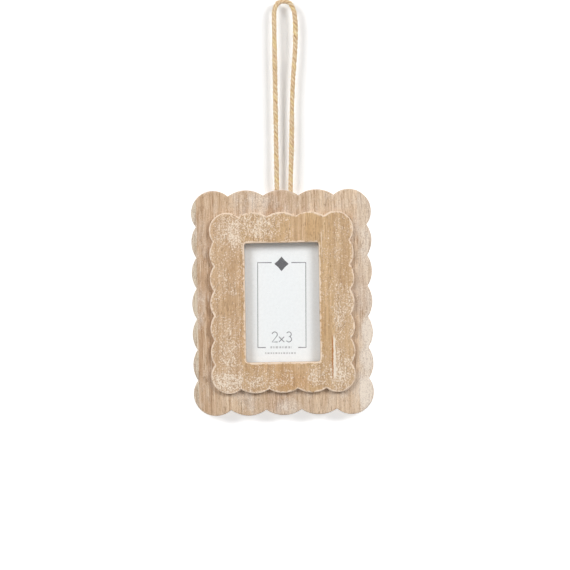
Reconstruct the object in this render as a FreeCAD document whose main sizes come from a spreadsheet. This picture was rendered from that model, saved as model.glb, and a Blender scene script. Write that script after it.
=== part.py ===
import FreeCAD, Part
import enum
import math
import os
import Sketcher
from FreeCAD import Placement, Rotation, Vector

# Picture frame ornament: two scalloped wood plates glued face to face, with a window that shows a
# card of 2 by 3 inches behind a clear pane, hung by a loop of twine.
# The frame: +X is right, the front faces -Y, +Z is up. The origin is where the loop hangs, on the
# inside of its top, and y = 0 is the middle of the back plate's thickness. Lengths are millimetres.

SIZES = (
    # Back plate: the larger board. A notch depth is how far a notch lies inside the board's edge.
    ("back_width", 101.6),
    ("back_height", 127.0),
    ("back_thickness", 9.0),
    ("back_corner_radius", 12.6),
    ("back_notch_across", 3.2),
    ("back_notch_down", 2.6),
    # Front plate: the smaller board
    ("front_width", 81.3),
    ("front_height", 101.9),
    ("front_thickness", 3.0),
    ("front_corner_radius", 10.1),
    ("front_notch_across", 2.4),
    ("front_notch_down", 2.2),
    # Edges of both plates: scallops along a side count both corners
    ("scallops_across", 5),
    ("scallops_down", 7),
    ("notch_round", 0.5),
    ("edge_bevel", 0.6),
    # Window, and the rebate behind it
    ("lip_overlap", 4.5),
    ("lip_thickness", 2.5),
    ("window_corner", 1.4),
    ("rebate_corner", 1.0),
    # What the rebate holds
    ("insert_width", 50.8),
    ("insert_height", 76.2),
    ("insert_clearance", 0.5),
    ("pane_thickness", 1.0),
    ("card_thickness", 0.3),
    ("backing_thickness", 2.0),
    # Metal tabs: grip is the length in the wood, reach the length over the backing board
    ("tab_width", 5.0),
    ("tab_thickness", 0.4),
    ("tab_grip", 4.0),
    ("tab_reach", 6.0),
    # Twine, its holes in the back plate's top edge, and where the plates hang below it
    ("twine_diameter", 2.8),
    ("hole_clearance", 0.4),
    ("hole_depth", 10.0),
    ("left_hole", -2.05),
    ("right_hole", 5.65),
    ("loop_height", 105.5),
    ("plates_offset", -4.3),
)

doc = FreeCAD.newDocument("picture_frame_ornament")

sheet = doc.addObject("Spreadsheet::Sheet", "Sizes")
for row, (alias, value) in enumerate(SIZES, start=1):
    sheet.set(f"A{row}", alias)
    sheet.set(f"B{row}", str(value))
    sheet.setAlias(f"B{row}", alias)
doc.recompute()


def number(expression):
    """The value of an expression on the sheet's sizes."""
    return float(sheet.evalExpression(expression))


# Values that follow from the sizes
derived = doc.addObject("App::VarSet", "Derived")


def derive(name, expression):
    derived.addProperty("App::PropertyFloat", name, "Derived")
    derived.setExpression(name, expression)


for plate in ("back", "front"):
    for way, length in (("across", "width"), ("down", "height")):
        corner = f"Sizes.{plate}_corner_radius"
        notch = f"Sizes.{plate}_notch_{way}"
        pitch = f"Derived.{plate}_pitch_{way}"
        # From the board's corner to the first notch
        derive(f"{plate}_span_{way}", f"{corner} + sqrt({notch} * (2 * {corner} - {notch}))")
        derive(
            f"{plate}_pitch_{way}",
            f"(Sizes.{plate}_{length} - 2 * Derived.{plate}_span_{way}) / (Sizes.scallops_{way} - 2)",
        )
        derive(f"{plate}_radius_{way}", f"{pitch} * {pitch} / (8 * {notch}) + {notch} / 2")

derive("window_width", "Sizes.insert_width - 2 * Sizes.lip_overlap")
derive("window_height", "Sizes.insert_height - 2 * Sizes.lip_overlap")
derive("rebate_width", "Sizes.insert_width + 2 * Sizes.insert_clearance")
derive("rebate_height", "Sizes.insert_height + 2 * Sizes.insert_clearance")
# Each thing in the rebate lies on the one in front of it: y of their back faces
derive("plates_seam", "-Sizes.back_thickness / 2")
derive("pane_back", "Derived.plates_seam + Sizes.lip_thickness + Sizes.pane_thickness")
derive("card_back", "Derived.pane_back + Sizes.card_thickness")
derive("backing_back", "Derived.card_back + Sizes.backing_thickness")
derive("tab_back", "Derived.backing_back + Sizes.tab_thickness")
derive("plates_centre", "-Sizes.loop_height - Sizes.back_height / 2")
derive("hole_diameter", "Sizes.twine_diameter + Sizes.hole_clearance")
doc.recompute()


def new_body(name, x="Sizes.plates_offset", y="0", z="Derived.plates_centre", turn=0):
    """A body whose own origin is at x, y, z, turned about Y by a number of degrees."""
    body = doc.addObject("PartDesign::Body", name)
    body.Label = name
    body.Placement = Placement(Vector(), Rotation(Vector(0, 1, 0), turn))
    for axis, expression in (("x", x), ("y", y), ("z", z)):
        body.setExpression(f"Placement.Base.{axis}", expression)
    return body


def new_sketch(body, name, role="XZ_Plane", offset="0"):
    """A sketch on a plane of the body. On XZ_Plane its normal is -Y, towards the front."""
    sketch = body.newObject("Sketcher::SketchObject", name)
    plane = next(feature for feature in body.Origin.OriginFeatures if feature.Role == role)
    sketch.AttachmentSupport = (plane, [""])
    sketch.MapMode = "FlatFace"
    sketch.setExpression("AttachmentOffset.Base.z", offset)
    return sketch


def constrain(sketch, expression, kind, *references):
    index = sketch.addConstraint(Sketcher.Constraint(kind, *references, number(expression)))
    sketch.setExpression(f"Constraints[{index}]", expression)


class On(enum.IntEnum):
    """Which point of a sketched edge a constraint holds."""

    START = 1
    END = 2
    CENTRE = 3


SKETCH_ORIGIN = (-1, On.START)


def place_point(sketch, geometry, point, x, z):
    constrain(sketch, x, "DistanceX", *SKETCH_ORIGIN, geometry, point)
    constrain(sketch, z, "DistanceY", *SKETCH_ORIGIN, geometry, point)


def join_ends(sketch, geometries):
    """Each edge ends where the next one starts, and the last one closes the outline."""
    for first, second in zip(geometries, geometries[1:] + geometries[:1]):
        sketch.addConstraint(Sketcher.Constraint("Coincident", first, On.END, second, On.START))


def draw_rectangle(sketch, left, bottom, right, top):
    corners = [
        Vector(number(x), number(z), 0)
        for x, z in ((left, bottom), (right, bottom), (right, top), (left, top))
    ]
    edges = [
        sketch.addGeometry(Part.LineSegment(first, second))
        for first, second in zip(corners, corners[1:] + corners[:1])
    ]
    join_ends(sketch, edges)
    for edge, kind in zip(edges, ("Horizontal", "Vertical", "Horizontal", "Vertical")):
        sketch.addConstraint(Sketcher.Constraint(kind, edge))
    place_point(sketch, edges[0], On.START, left, bottom)
    place_point(sketch, edges[2], On.START, right, top)


def draw_centred_rectangle(sketch, width, height):
    draw_rectangle(sketch, f"-{width} / 2", f"-{height} / 2", f"{width} / 2", f"{height} / 2")


def scallop_centres(plate):
    """Centre x, centre z and radius of each scallop, anticlockwise from the right side's lowest."""
    across = round(number("Sizes.scallops_across")) - 2
    down = round(number("Sizes.scallops_down")) - 2
    corner = f"Sizes.{plate}_corner_radius"

    def corner_scallop(x_sign, z_sign):
        return (
            f"{x_sign}(Sizes.{plate}_width / 2 - {corner})",
            f"{z_sign}(Sizes.{plate}_height / 2 - {corner})",
            corner,
        )

    def side_scallops(sign, order):
        radius = f"Derived.{plate}_radius_down"
        for place in order:
            step = place - (down - 1) / 2
            x = f"{sign}(Sizes.{plate}_width / 2 - {radius})"
            yield x, f"{step} * Derived.{plate}_pitch_down", radius

    def level_scallops(sign, order):
        radius = f"Derived.{plate}_radius_across"
        for place in order:
            step = place - (across - 1) / 2
            z = f"{sign}(Sizes.{plate}_height / 2 - {radius})"
            yield f"{step} * Derived.{plate}_pitch_across", z, radius

    return [
        *side_scallops("", range(down)),
        corner_scallop("", ""),
        *level_scallops("", reversed(range(across))),
        corner_scallop("-", ""),
        *side_scallops("-", reversed(range(down))),
        corner_scallop("-", "-"),
        *level_scallops("-", range(across)),
        corner_scallop("", "-"),
    ]


def notch_points(plate):
    """The points where the scallops meet, in the same order, from the right side's lowest."""
    half_width = number(f"Sizes.{plate}_width / 2")
    half_height = number(f"Sizes.{plate}_height / 2")
    edge_x = half_width - number(f"Sizes.{plate}_notch_down")
    edge_z = half_height - number(f"Sizes.{plate}_notch_across")
    first_x = half_width - number(f"Derived.{plate}_span_across")
    first_z = half_height - number(f"Derived.{plate}_span_down")
    pitch_x = number(f"Derived.{plate}_pitch_across")
    pitch_z = number(f"Derived.{plate}_pitch_down")
    across = [pitch_x * step - first_x for step in range(round(number("Sizes.scallops_across")) - 1)]
    down = [pitch_z * step - first_z for step in range(round(number("Sizes.scallops_down")) - 1)]
    right = [Vector(edge_x, z, 0) for z in down]
    top = [Vector(x, edge_z, 0) for x in reversed(across)]
    left = [Vector(-edge_x, z, 0) for z in reversed(down)]
    bottom = [Vector(x, -edge_z, 0) for x in across]
    return right + top + left + bottom


def draw_scallops(sketch, plate):
    """The closed outline of arcs, one for each scallop."""
    notches = notch_points(plate)
    edges = []
    for (x, z, radius), first, second in zip(
        scallop_centres(plate), notches, notches[1:] + notches[:1]
    ):
        centre = Vector(number(x), number(z), 0)
        circle = Part.Circle(centre, Vector(0, 0, 1), number(radius))
        start, end = circle.parameter(first), circle.parameter(second)
        edges.append(sketch.addGeometry(Part.ArcOfCircle(circle, start, end)))
        place_point(sketch, edges[-1], On.CENTRE, x, z)
        constrain(sketch, radius, "Radius", edges[-1])
    join_ends(sketch, edges)


def add_pad(body, sketch, name, length):
    pad = body.newObject("PartDesign::Pad", name)
    pad.Profile = sketch
    pad.setExpression("Length", length)
    doc.recompute()
    return pad


def add_pocket(body, sketch, name, length, forwards=True):
    """A pocket along the sketch's normal when forwards, or against it."""
    before = body.Shape.Volume
    pocket = body.newObject("PartDesign::Pocket", name)
    pocket.Profile = sketch
    pocket.Reversed = forwards
    pocket.setExpression("Length", length)
    doc.recompute()
    if body.Shape.Volume >= before:
        raise RuntimeError(f"{pocket.Name} cuts nothing")
    return pocket


def edge_names(shape, wanted):
    return [f"Edge{place}" for place, edge in enumerate(shape.Edges, start=1) if wanted(edge)]


def dress_edges(body, kind, size_name, name, size, wanted):
    """Rounds or bevels the edges of the body's tip that the test picks out."""
    base = body.Tip
    feature = body.newObject(kind, name)
    feature.Base = (base, edge_names(base.Shape, wanted))
    feature.setExpression(size_name, size)
    doc.recompute()


def add_fillet(body, name, radius, wanted):
    dress_edges(body, "PartDesign::Fillet", "Radius", name, radius, wanted)


def add_bevel(body, name, size, wanted):
    dress_edges(body, "PartDesign::Chamfer", "Size", name, size, wanted)


TOUCH = 1e-4


def runs_front_to_back(edge):
    """Whether an edge of a body is straight along Y."""
    box = edge.BoundBox
    return box.XLength < TOUCH and box.ZLength < TOUCH


def inside_rectangle(edge, width, height):
    """Whether an edge of a body lies within a centred rectangle, its own outline included."""
    box = edge.BoundBox
    reach_x = number(width) / 2 + TOUCH
    reach_z = number(height) / 2 + TOUCH
    return max(-box.XMin, box.XMax) <= reach_x and max(-box.ZMin, box.ZMax) <= reach_z


def lies_at(edge, y):
    box = edge.BoundBox
    return abs(box.YMin - y) < TOUCH and abs(box.YMax - y) < TOUCH


def make_plate(name, plate, y):
    """A scalloped board with the window through it. Its own y = 0 is the board's back face."""
    body = new_body(name, y=y)
    outline = new_sketch(body, f"{plate}_outline")
    draw_scallops(outline, plate)
    add_pad(body, outline, f"{plate}_board", f"Sizes.{plate}_thickness")
    add_fillet(body, f"{plate}_notches", "Sizes.notch_round", runs_front_to_back)
    window = new_sketch(body, f"{plate}_window_outline")
    draw_centred_rectangle(window, "Derived.window_width", "Derived.window_height")
    add_pocket(body, window, f"{plate}_window", f"Sizes.{plate}_thickness")
    add_fillet(
        body,
        f"{plate}_window_corners",
        "Sizes.window_corner",
        lambda edge: runs_front_to_back(edge)
        and inside_rectangle(edge, "Derived.window_width", "Derived.window_height"),
    )
    return body


def bevel_front_edges(body, plate, window_too):
    """The sanded edge round the board's front, and round its window where that shows."""
    front = -number(f"Sizes.{plate}_thickness")

    def wanted(edge):
        at_window = inside_rectangle(edge, "Derived.window_width", "Derived.window_height")
        return lies_at(edge, front) and (window_too or not at_window)

    add_bevel(body, f"{plate}_edges", "Sizes.edge_bevel", wanted)


def make_front_plate():
    body = make_plate("front_plate", "front", "Derived.plates_seam")
    bevel_front_edges(body, "front", window_too=True)
    return body


def cut_rebate(body):
    """The step behind the window that takes the pane, the card and the backing board."""
    rebate = new_sketch(body, "rebate_outline")
    draw_centred_rectangle(rebate, "Derived.rebate_width", "Derived.rebate_height")
    add_pocket(body, rebate, "rebate", "Sizes.back_thickness - Sizes.lip_thickness")
    lip = number("Sizes.lip_thickness - Sizes.back_thickness")
    add_fillet(
        body,
        "rebate_corners",
        "Sizes.rebate_corner",
        lambda edge: runs_front_to_back(edge)
        and inside_rectangle(edge, "Derived.rebate_width", "Derived.rebate_height")
        and edge.BoundBox.YMin > lip - TOUCH,
    )


def cut_tab_slits(body):
    """One slit in each wall of the rebate, as wide, deep and thick as the tab pushed into it."""
    slits = new_sketch(body, "slits_outline", offset="Sizes.back_thickness / 2 - Derived.tab_back")
    half_tab = "Sizes.tab_width / 2"
    for half_rebate, upright in (("Derived.rebate_height / 2", True), ("Derived.rebate_width / 2", False)):
        near, far = half_rebate, f"{half_rebate} + Sizes.tab_grip"
        for low, high in ((near, far), (f"-({far})", f"-{near}")):
            if upright:
                draw_rectangle(slits, f"-{half_tab}", low, half_tab, high)
            else:
                draw_rectangle(slits, low, f"-{half_tab}", high, half_tab)
    add_pocket(body, slits, "tab_slits", "Sizes.tab_thickness")


def drill_twine_holes(body):
    """Two blind holes down from the top edge, in the middle of the board's thickness."""
    mouths = new_sketch(body, "twine_hole_mouths", "XY_Plane", "Sizes.back_height / 2")
    for place in ("Sizes.left_hole", "Sizes.right_hole"):
        middle = "-Sizes.back_thickness / 2"
        centre = Vector(number(place), number(middle), 0)
        circle = mouths.addGeometry(
            Part.Circle(centre, Vector(0, 0, 1), number("Derived.hole_diameter / 2"))
        )
        place_point(mouths, circle, On.CENTRE, place, middle)
        constrain(mouths, "Derived.hole_diameter / 2", "Radius", circle)
    add_pocket(body, mouths, "twine_holes", "Sizes.hole_depth", forwards=False)


def make_back_plate():
    body = make_plate("back_plate", "back", "Sizes.back_thickness / 2")
    cut_rebate(body)
    cut_tab_slits(body)
    bevel_front_edges(body, "back", window_too=False)
    drill_twine_holes(body)
    return body


def make_sheet(name, thickness, y):
    """A flat sheet of the insert's size: the pane, the card and the backing board."""
    body = new_body(name, y=y)
    outline = new_sketch(body, f"{name}_outline")
    draw_centred_rectangle(outline, "Sizes.insert_width", "Sizes.insert_height")
    add_pad(body, outline, f"{name}_sheet", thickness)
    return body


def make_tab(side, turn, x, z):
    """A metal tongue with a round end. Its own z = 0 is the rebate's wall, and +Z is into the wood."""
    body = new_body(f"backing_tab_{side}", x, "Derived.tab_back", z, turn)
    outline = new_sketch(body, f"tab_{side}_outline")
    half, grip, reach = "Sizes.tab_width / 2", "Sizes.tab_grip", "Sizes.tab_reach"
    round_centre = f"{half} - {reach}"
    x_side, z_grip, z_round = number(half), number(grip), number(round_centre)
    corners = [
        Vector(x_side, z_round, 0),
        Vector(x_side, z_grip, 0),
        Vector(-x_side, z_grip, 0),
        Vector(-x_side, z_round, 0),
    ]
    edges = [
        outline.addGeometry(Part.LineSegment(first, second))
        for first, second in zip(corners, corners[1:])
    ]
    circle = Part.Circle(Vector(0, z_round, 0), Vector(0, 0, 1), x_side)
    edges.append(outline.addGeometry(Part.ArcOfCircle(circle, math.pi, 2 * math.pi)))
    right_side, grip_end, left_side, free_end = edges
    for first, second in ((right_side, grip_end), (grip_end, left_side)):
        outline.addConstraint(Sketcher.Constraint("Coincident", first, On.END, second, On.START))
    for first, second in ((left_side, free_end), (free_end, right_side)):
        outline.addConstraint(Sketcher.Constraint("Tangent", first, On.END, second, On.START))
    for edge, kind in zip(edges, ("Vertical", "Horizontal", "Vertical")):
        outline.addConstraint(Sketcher.Constraint(kind, edge))
    place_point(outline, right_side, On.END, half, grip)
    constrain(outline, f"-{half}", "DistanceX", *SKETCH_ORIGIN, left_side, On.START)
    constrain(outline, round_centre, "DistanceY", *SKETCH_ORIGIN, free_end, On.CENTRE)
    add_pad(body, outline, f"tab_{side}_strip", "Sizes.tab_thickness")
    return body


def make_tabs():
    """One tab at the middle of each side of the rebate."""
    centre_x, centre_z = "Sizes.plates_offset", "Derived.plates_centre"
    half_width, half_height = "Derived.rebate_width / 2", "Derived.rebate_height / 2"
    places = (
        ("top", 0, centre_x, f"{centre_z} + {half_height}"),
        ("right", 90, f"{centre_x} + {half_width}", centre_z),
        ("bottom", 180, centre_x, f"{centre_z} - {half_height}"),
        ("left", 270, f"{centre_x} - {half_width}", centre_z),
    )
    return [make_tab(*place) for place in places]


# The twine's route, in x and z: up from the left hole, round the loop's top and down to the right
# hole. The two points at its top stand one twine radius above the origin.
RIGHT_STRAND = ((6.1, -18.0), (3.1, -50.0), (2.5, -80.0))
LOOP_TOP_RIGHT = 4.9
MOUTH_GAP = 4.0
BEND_SHARE = 0.45
VOLUME_TOLERANCE = 0.01


def twine_route():
    left = number("Sizes.plates_offset + Sizes.left_hole")
    right = number("Sizes.plates_offset + Sizes.right_hole")
    hole_floor = number("-Sizes.loop_height - Sizes.hole_depth")
    above_mouth = number("-Sizes.loop_height") + MOUTH_GAP
    top = number("Sizes.twine_diameter / 2")
    route = [(left, hole_floor), (left, top), (LOOP_TOP_RIGHT, top)]
    route += RIGHT_STRAND
    route += [(right, above_mouth), (right, hole_floor)]
    return [Vector(x, 0, z) for x, z in route]


def rounded_path(points):
    """Straight runs joined by tangent arcs, each arc as large as its two runs allow."""
    edges = []
    reached = points[0]
    for before, corner, after in zip(points, points[1:], points[2:]):
        back, ahead = before - corner, after - corner
        shorter = min(back.Length, ahead.Length)
        half_turn = (math.pi - back.getAngle(ahead)) / 2
        setback = BEND_SHARE * shorter
        print(f"bend at {corner.x:.1f}, {corner.z:.1f}: radius {setback / math.tan(half_turn):.1f}")
        back.normalize()
        ahead.normalize()
        start, end = corner + back * setback, corner + ahead * setback
        middle_way = (back + ahead).normalize()
        radius = setback / math.tan(half_turn)
        middle = corner + middle_way * (radius / math.cos(half_turn) - radius)
        edges.append(Part.LineSegment(reached, start).toShape())
        edges.append(Part.Arc(start, middle, end).toShape())
        reached = end
    edges.append(Part.LineSegment(reached, points[-1]).toShape())
    return Part.Wire(edges)


def make_twine():
    """The twine as one plain tube, its two ends on the floors of its holes."""
    points = twine_route()
    path = doc.addObject("Part::Feature", "twine_path")
    path.Shape = rounded_path(points)
    section = doc.addObject("Part::Circle", "twine_section")
    section.setExpression("Radius", "Sizes.twine_diameter / 2")
    section.Placement = Placement(points[0], Rotation())
    twine = doc.addObject("Part::Sweep", "twine_loop")
    twine.Label = "twine_loop"
    twine.Sections = [section]
    twine.Spine = (path, [f"Edge{place + 1}" for place in range(len(path.Shape.Edges))])
    twine.Solid = True
    doc.recompute()
    swept = math.pi * number("Sizes.twine_diameter / 2") ** 2 * path.Shape.Length
    if abs(twine.Shape.Volume / swept - 1) > VOLUME_TOLERANCE:
        raise RuntimeError("the twine's volume is not its section times its length")
    print(f"twine length {path.Shape.Length:.1f}")
    return twine


nodes = [
    make_back_plate(),
    make_front_plate(),
    make_sheet("clear_pane", "Sizes.pane_thickness", "Derived.pane_back"),
    make_sheet("insert_card", "Sizes.card_thickness", "Derived.card_back"),
    make_sheet("backing_board", "Sizes.backing_thickness", "Derived.backing_back"),
    *make_tabs(),
    make_twine(),
]

doc.recompute()
for item in doc.Objects:
    if "Invalid" in item.State or "Error" in item.State:
        raise RuntimeError(f"{item.Name} is in state {item.State}")
os.makedirs("parts", exist_ok=True)
for node in nodes:
    if node.Shape.isNull() or not node.Shape.isValid() or len(node.Shape.Solids) != 1:
        raise RuntimeError(f"{node.Label} is not one valid solid")
    print(f"{node.Label}: {node.Shape.Volume:.1f} cubic mm")
for node in nodes:
    node.Shape.exportStep(f"parts/{node.Label}.step")
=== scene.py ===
"""Picture frame ornament: two scalloped boards of limewashed wood around a small card, on a loop of twine.

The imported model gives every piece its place. This script dresses it: it cuts and rounds the boards,
lays the twine, prints the card, and sets up the wall, the lamps and the camera.
"""
import math

import bmesh
import bpy
from bpy.props import FloatProperty, FloatVectorProperty, IntProperty, PointerProperty
from mathutils import Matrix, Vector


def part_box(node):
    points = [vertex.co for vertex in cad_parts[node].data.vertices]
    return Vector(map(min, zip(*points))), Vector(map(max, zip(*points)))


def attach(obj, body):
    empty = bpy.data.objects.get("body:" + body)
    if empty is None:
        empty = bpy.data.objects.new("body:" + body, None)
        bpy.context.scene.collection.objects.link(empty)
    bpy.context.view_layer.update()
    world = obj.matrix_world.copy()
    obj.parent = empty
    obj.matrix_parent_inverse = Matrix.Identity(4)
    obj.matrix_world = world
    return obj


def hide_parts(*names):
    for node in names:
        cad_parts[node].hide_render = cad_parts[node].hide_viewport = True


bl_info = {
    "name": "Scalloped Picture Frame Ornament",
    "version": (1, 0, 0),
    "blender": (4, 5, 0),
    "location": "View3D > Sidebar > Ornament",
    "description": "Builds the boards, twine, printed card and stage of a small hanging picture frame",
    "category": "Object",
}

MM = 0.001
QUARTER = math.pi / 2
BODY = "root"

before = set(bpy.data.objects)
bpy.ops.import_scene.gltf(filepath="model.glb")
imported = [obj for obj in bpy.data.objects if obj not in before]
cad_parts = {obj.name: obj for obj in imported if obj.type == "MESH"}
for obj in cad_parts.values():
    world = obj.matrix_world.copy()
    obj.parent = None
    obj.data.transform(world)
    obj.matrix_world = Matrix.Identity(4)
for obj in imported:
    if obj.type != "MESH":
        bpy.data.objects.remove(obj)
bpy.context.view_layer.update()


def node_box(node):
    """Lowest corner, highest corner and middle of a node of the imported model."""
    low, high = (Vector(corner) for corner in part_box(node))
    return low, high, (low + high) / 2


BACK_LOW, BACK_HIGH, PLATES_MIDDLE = node_box("back_plate")
FRONT_LOW, FRONT_HIGH, _ = node_box("front_plate")
CARD_LOW, CARD_HIGH, CARD_MIDDLE = node_box("insert_card")


def linear(*screen):
    """A colour as a screen shows it, each part from 0 to 255, in the numbers that materials take."""
    parts = [part / 255 for part in screen]
    return tuple(part / 12.92 if part <= 0.04045 else ((part + 0.055) / 1.055) ** 2.4 for part in parts)


def opaque(colour):
    """The colour with a full alpha, as a colour socket takes it."""
    return (*colour[:3], 1.0)


def property_maker(kind, scale=1, **shared):
    """A short way to write properties of one kind, with their defaults in steps of scale."""

    def new_property(name, description, default, **limits):
        return kind(name=name, description=description, default=default * scale, **shared, **limits)

    return new_property


length_property = property_maker(FloatProperty, MM, unit="LENGTH")
angle_property = property_maker(FloatProperty, math.radians(1), subtype="ANGLE")
power_property = property_maker(FloatProperty, subtype="POWER")
number_property = property_maker(FloatProperty)
count_property = property_maker(IntProperty)


def colour_property(name, description, *screen):
    look = {"default": linear(*screen), "subtype": "COLOR", "min": 0.0, "max": 1.0}
    return FloatVectorProperty(name=name, description=description, **look)


class ORNAMENT_PG_boards(bpy.types.PropertyGroup):
    """Sizes and colours of the two scalloped boards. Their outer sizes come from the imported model."""

    back_corner: length_property("Back Corner", "Radius of the back board's corner scallops", 12.6)
    back_notch_across: length_property("Back Top Notches", "Depth of the notches along the top", 3.2)
    back_notch_down: length_property("Back Side Notches", "Depth of the notches down the sides", 2.6)
    front_corner: length_property("Front Corner", "Radius of the front board's corner scallops", 10.1)
    front_notch_across: length_property("Front Top Notches", "Depth of the notches along the top", 2.4)
    front_notch_down: length_property("Front Side Notches", "Depth of the notches down the sides", 2.2)
    scallops_across: count_property(
        "Scallops Across", "Scallops along the top, both corners counted", 5, min=3
    )
    scallops_down: count_property("Scallops Down", "Scallops down a side, both corners counted", 7, min=3)
    arc_points: count_property("Arc Points", "Points along each scallop", 22, min=4)
    edge_round: length_property("Edge Round", "Radius of the sanded edges", 0.6)
    unevenness: length_property("Unevenness", "How far the saw strayed from the line", 0.22)
    lip_overlap: length_property("Lip Overlap", "How far the window's lip covers the card", 4.5)
    lip_thickness: length_property("Lip Thickness", "Wood left in front of the pane", 2.5)
    window_corner: length_property("Window Corner", "Radius of the window's corners", 1.4)
    rebate_gap: length_property("Rebate Gap", "Room round the card in its rebate", 0.5)
    rebate_corner: length_property("Rebate Corner", "Radius of the rebate's corners", 1.0)
    hole_diameter: length_property("Hole Diameter", "Width of the two holes for the twine", 3.2)
    hole_depth: length_property("Hole Depth", "Depth of the two holes for the twine", 10.0)
    limewash: colour_property("Limewash", "The white paint left in the wood", 247, 232, 213)
    pore: colour_property("Pores", "The dark short lines of the grain", 128, 94, 62)


class ORNAMENT_PG_twine(bpy.types.PropertyGroup):
    """The loop of twine."""

    diameter: length_property("Diameter", "Thickness of the whole twine", 2.8)
    loop_length: length_property("Length", "Length of the loop from one hole's floor to the other's", 241)
    turn_length: length_property("Turn Length", "Length in which a ply goes once round", 7.6)
    plies: count_property("Plies", "Yarns twisted together", 3, min=2, max=4)
    fibre_ridges: count_property("Fibre Ridges", "Ridges round each ply", 6, min=3)
    loose_fibres: number_property("Loose Fibres", "Fibres that stand out, for each square metre", 0.5e6)
    straw: colour_property("Straw", "Colour of the fibres in the light", 252, 237, 204)
    # Painted shade: the colour laid in the grooves between the plies
    shade: colour_property("Shade", "Colour of the fibres between the plies", 186, 138, 92)


class ORNAMENT_PG_card(bpy.types.PropertyGroup):
    """The printed card and its pane."""

    line_width: length_property("Line Width", "Width of the printed border", 0.6)
    digit_width: length_property("Digit Width", "Width of the digits' strokes", 0.5)
    ink_thickness: length_property("Ink Thickness", "How far the ink stands off the card", 0.02)
    paper: colour_property("Paper", "The card's white", 246, 249, 250)
    line_ink: colour_property("Line Ink", "Grey of the border and the digits", 128, 128, 131)
    mark_ink: colour_property("Mark Ink", "Dark grey of the mark at the top", 84, 84, 87)
    small_ink: colour_property("Small Ink", "Light grey of the rows of dashes", 186, 186, 188)
    turn: angle_property("Print Turn", "How far the print is turned on the card", 0.75)


class ORNAMENT_PG_stage(bpy.types.PropertyGroup):
    """The wall, the lamps and the camera."""

    wall_gap: length_property("Wall Gap", "Room between the back board and the wall", 1.0)
    camera_distance: length_property("Camera Distance", "From the camera to the front board", 1000)
    view_width: length_property("View Width", "Width of the picture at the back board's front", 321.2)
    camera_roll: angle_property("Camera Roll", "Turn of the camera", -0.95)
    key_power: power_property("Key Power", "Power of each front lamp", 10.5)
    back_power: power_property("Back Power", "Power of each lamp behind", 7.0)
    fill: number_property("Fill", "Strength of the even light from all round", 0.32)


class ORNAMENT_PG_settings(bpy.types.PropertyGroup):
    """All the settings of the ornament."""

    boards: PointerProperty(type=ORNAMENT_PG_boards)
    twine: PointerProperty(type=ORNAMENT_PG_twine)
    card: PointerProperty(type=ORNAMENT_PG_card)
    stage: PointerProperty(type=ORNAMENT_PG_stage)


def arithmetic(operation, swapped=False):
    """A method that adds a Math node for a wire and another value, in that order or swapped."""

    def method(self, other):
        values = (other, self) if swapped else (self, other)
        return self.nodes.math(operation, *values)

    return method


class Wire:
    """One output of a node. Arithmetic on it adds Math nodes to its tree, so a formula reads as one."""

    __add__ = arithmetic("ADD")
    __radd__ = arithmetic("ADD", swapped=True)
    __sub__ = arithmetic("SUBTRACT")
    __rsub__ = arithmetic("SUBTRACT", swapped=True)
    __mul__ = arithmetic("MULTIPLY")
    __rmul__ = arithmetic("MULTIPLY", swapped=True)
    __truediv__ = arithmetic("DIVIDE")

    def __init__(self, nodes, socket):
        self.nodes = nodes
        self.socket = socket

    def __neg__(self):
        return self * -1

    def part(self, axis):
        return self.nodes.add("ShaderNodeSeparateXYZ", {"Vector": self})[axis]

    x = property(lambda self: self.part("X"))
    y = property(lambda self: self.part("Y"))
    z = property(lambda self: self.part("Z"))


def is_vector(value):
    if isinstance(value, Wire):
        return value.socket.type in {"VECTOR", "RGBA"}
    return isinstance(value, (tuple, Vector))


def pick_socket(sockets, key):
    """The socket with that number, identifier or name. Of sockets that share a name, the one in use."""
    if isinstance(key, int):
        return sockets[key]
    for trait in ("identifier", "name"):
        for socket in sockets:
            if socket.enabled and getattr(socket, trait) == key:
                return socket
    raise KeyError(f"no socket {key} among {[socket.name for socket in sockets]}")


class Made:
    """A node of a tree. Its inputs and outputs are found by name."""

    def __init__(self, nodes, node, inputs=None):
        self.nodes = nodes
        self.node = node
        self.give(inputs or {})

    def __getitem__(self, key):
        return Wire(self.nodes, pick_socket(self.node.outputs, key))

    def give(self, inputs):
        """Links a wire, or each of a list of wires, to its input, or sets the input's plain value."""
        for key, value in inputs.items():
            socket = pick_socket(self.node.inputs, key)
            for item in value if isinstance(value, list) else [value]:
                if isinstance(item, Wire):
                    self.nodes.tree.links.new(item.socket, socket)
                else:
                    socket.default_value = item


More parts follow.
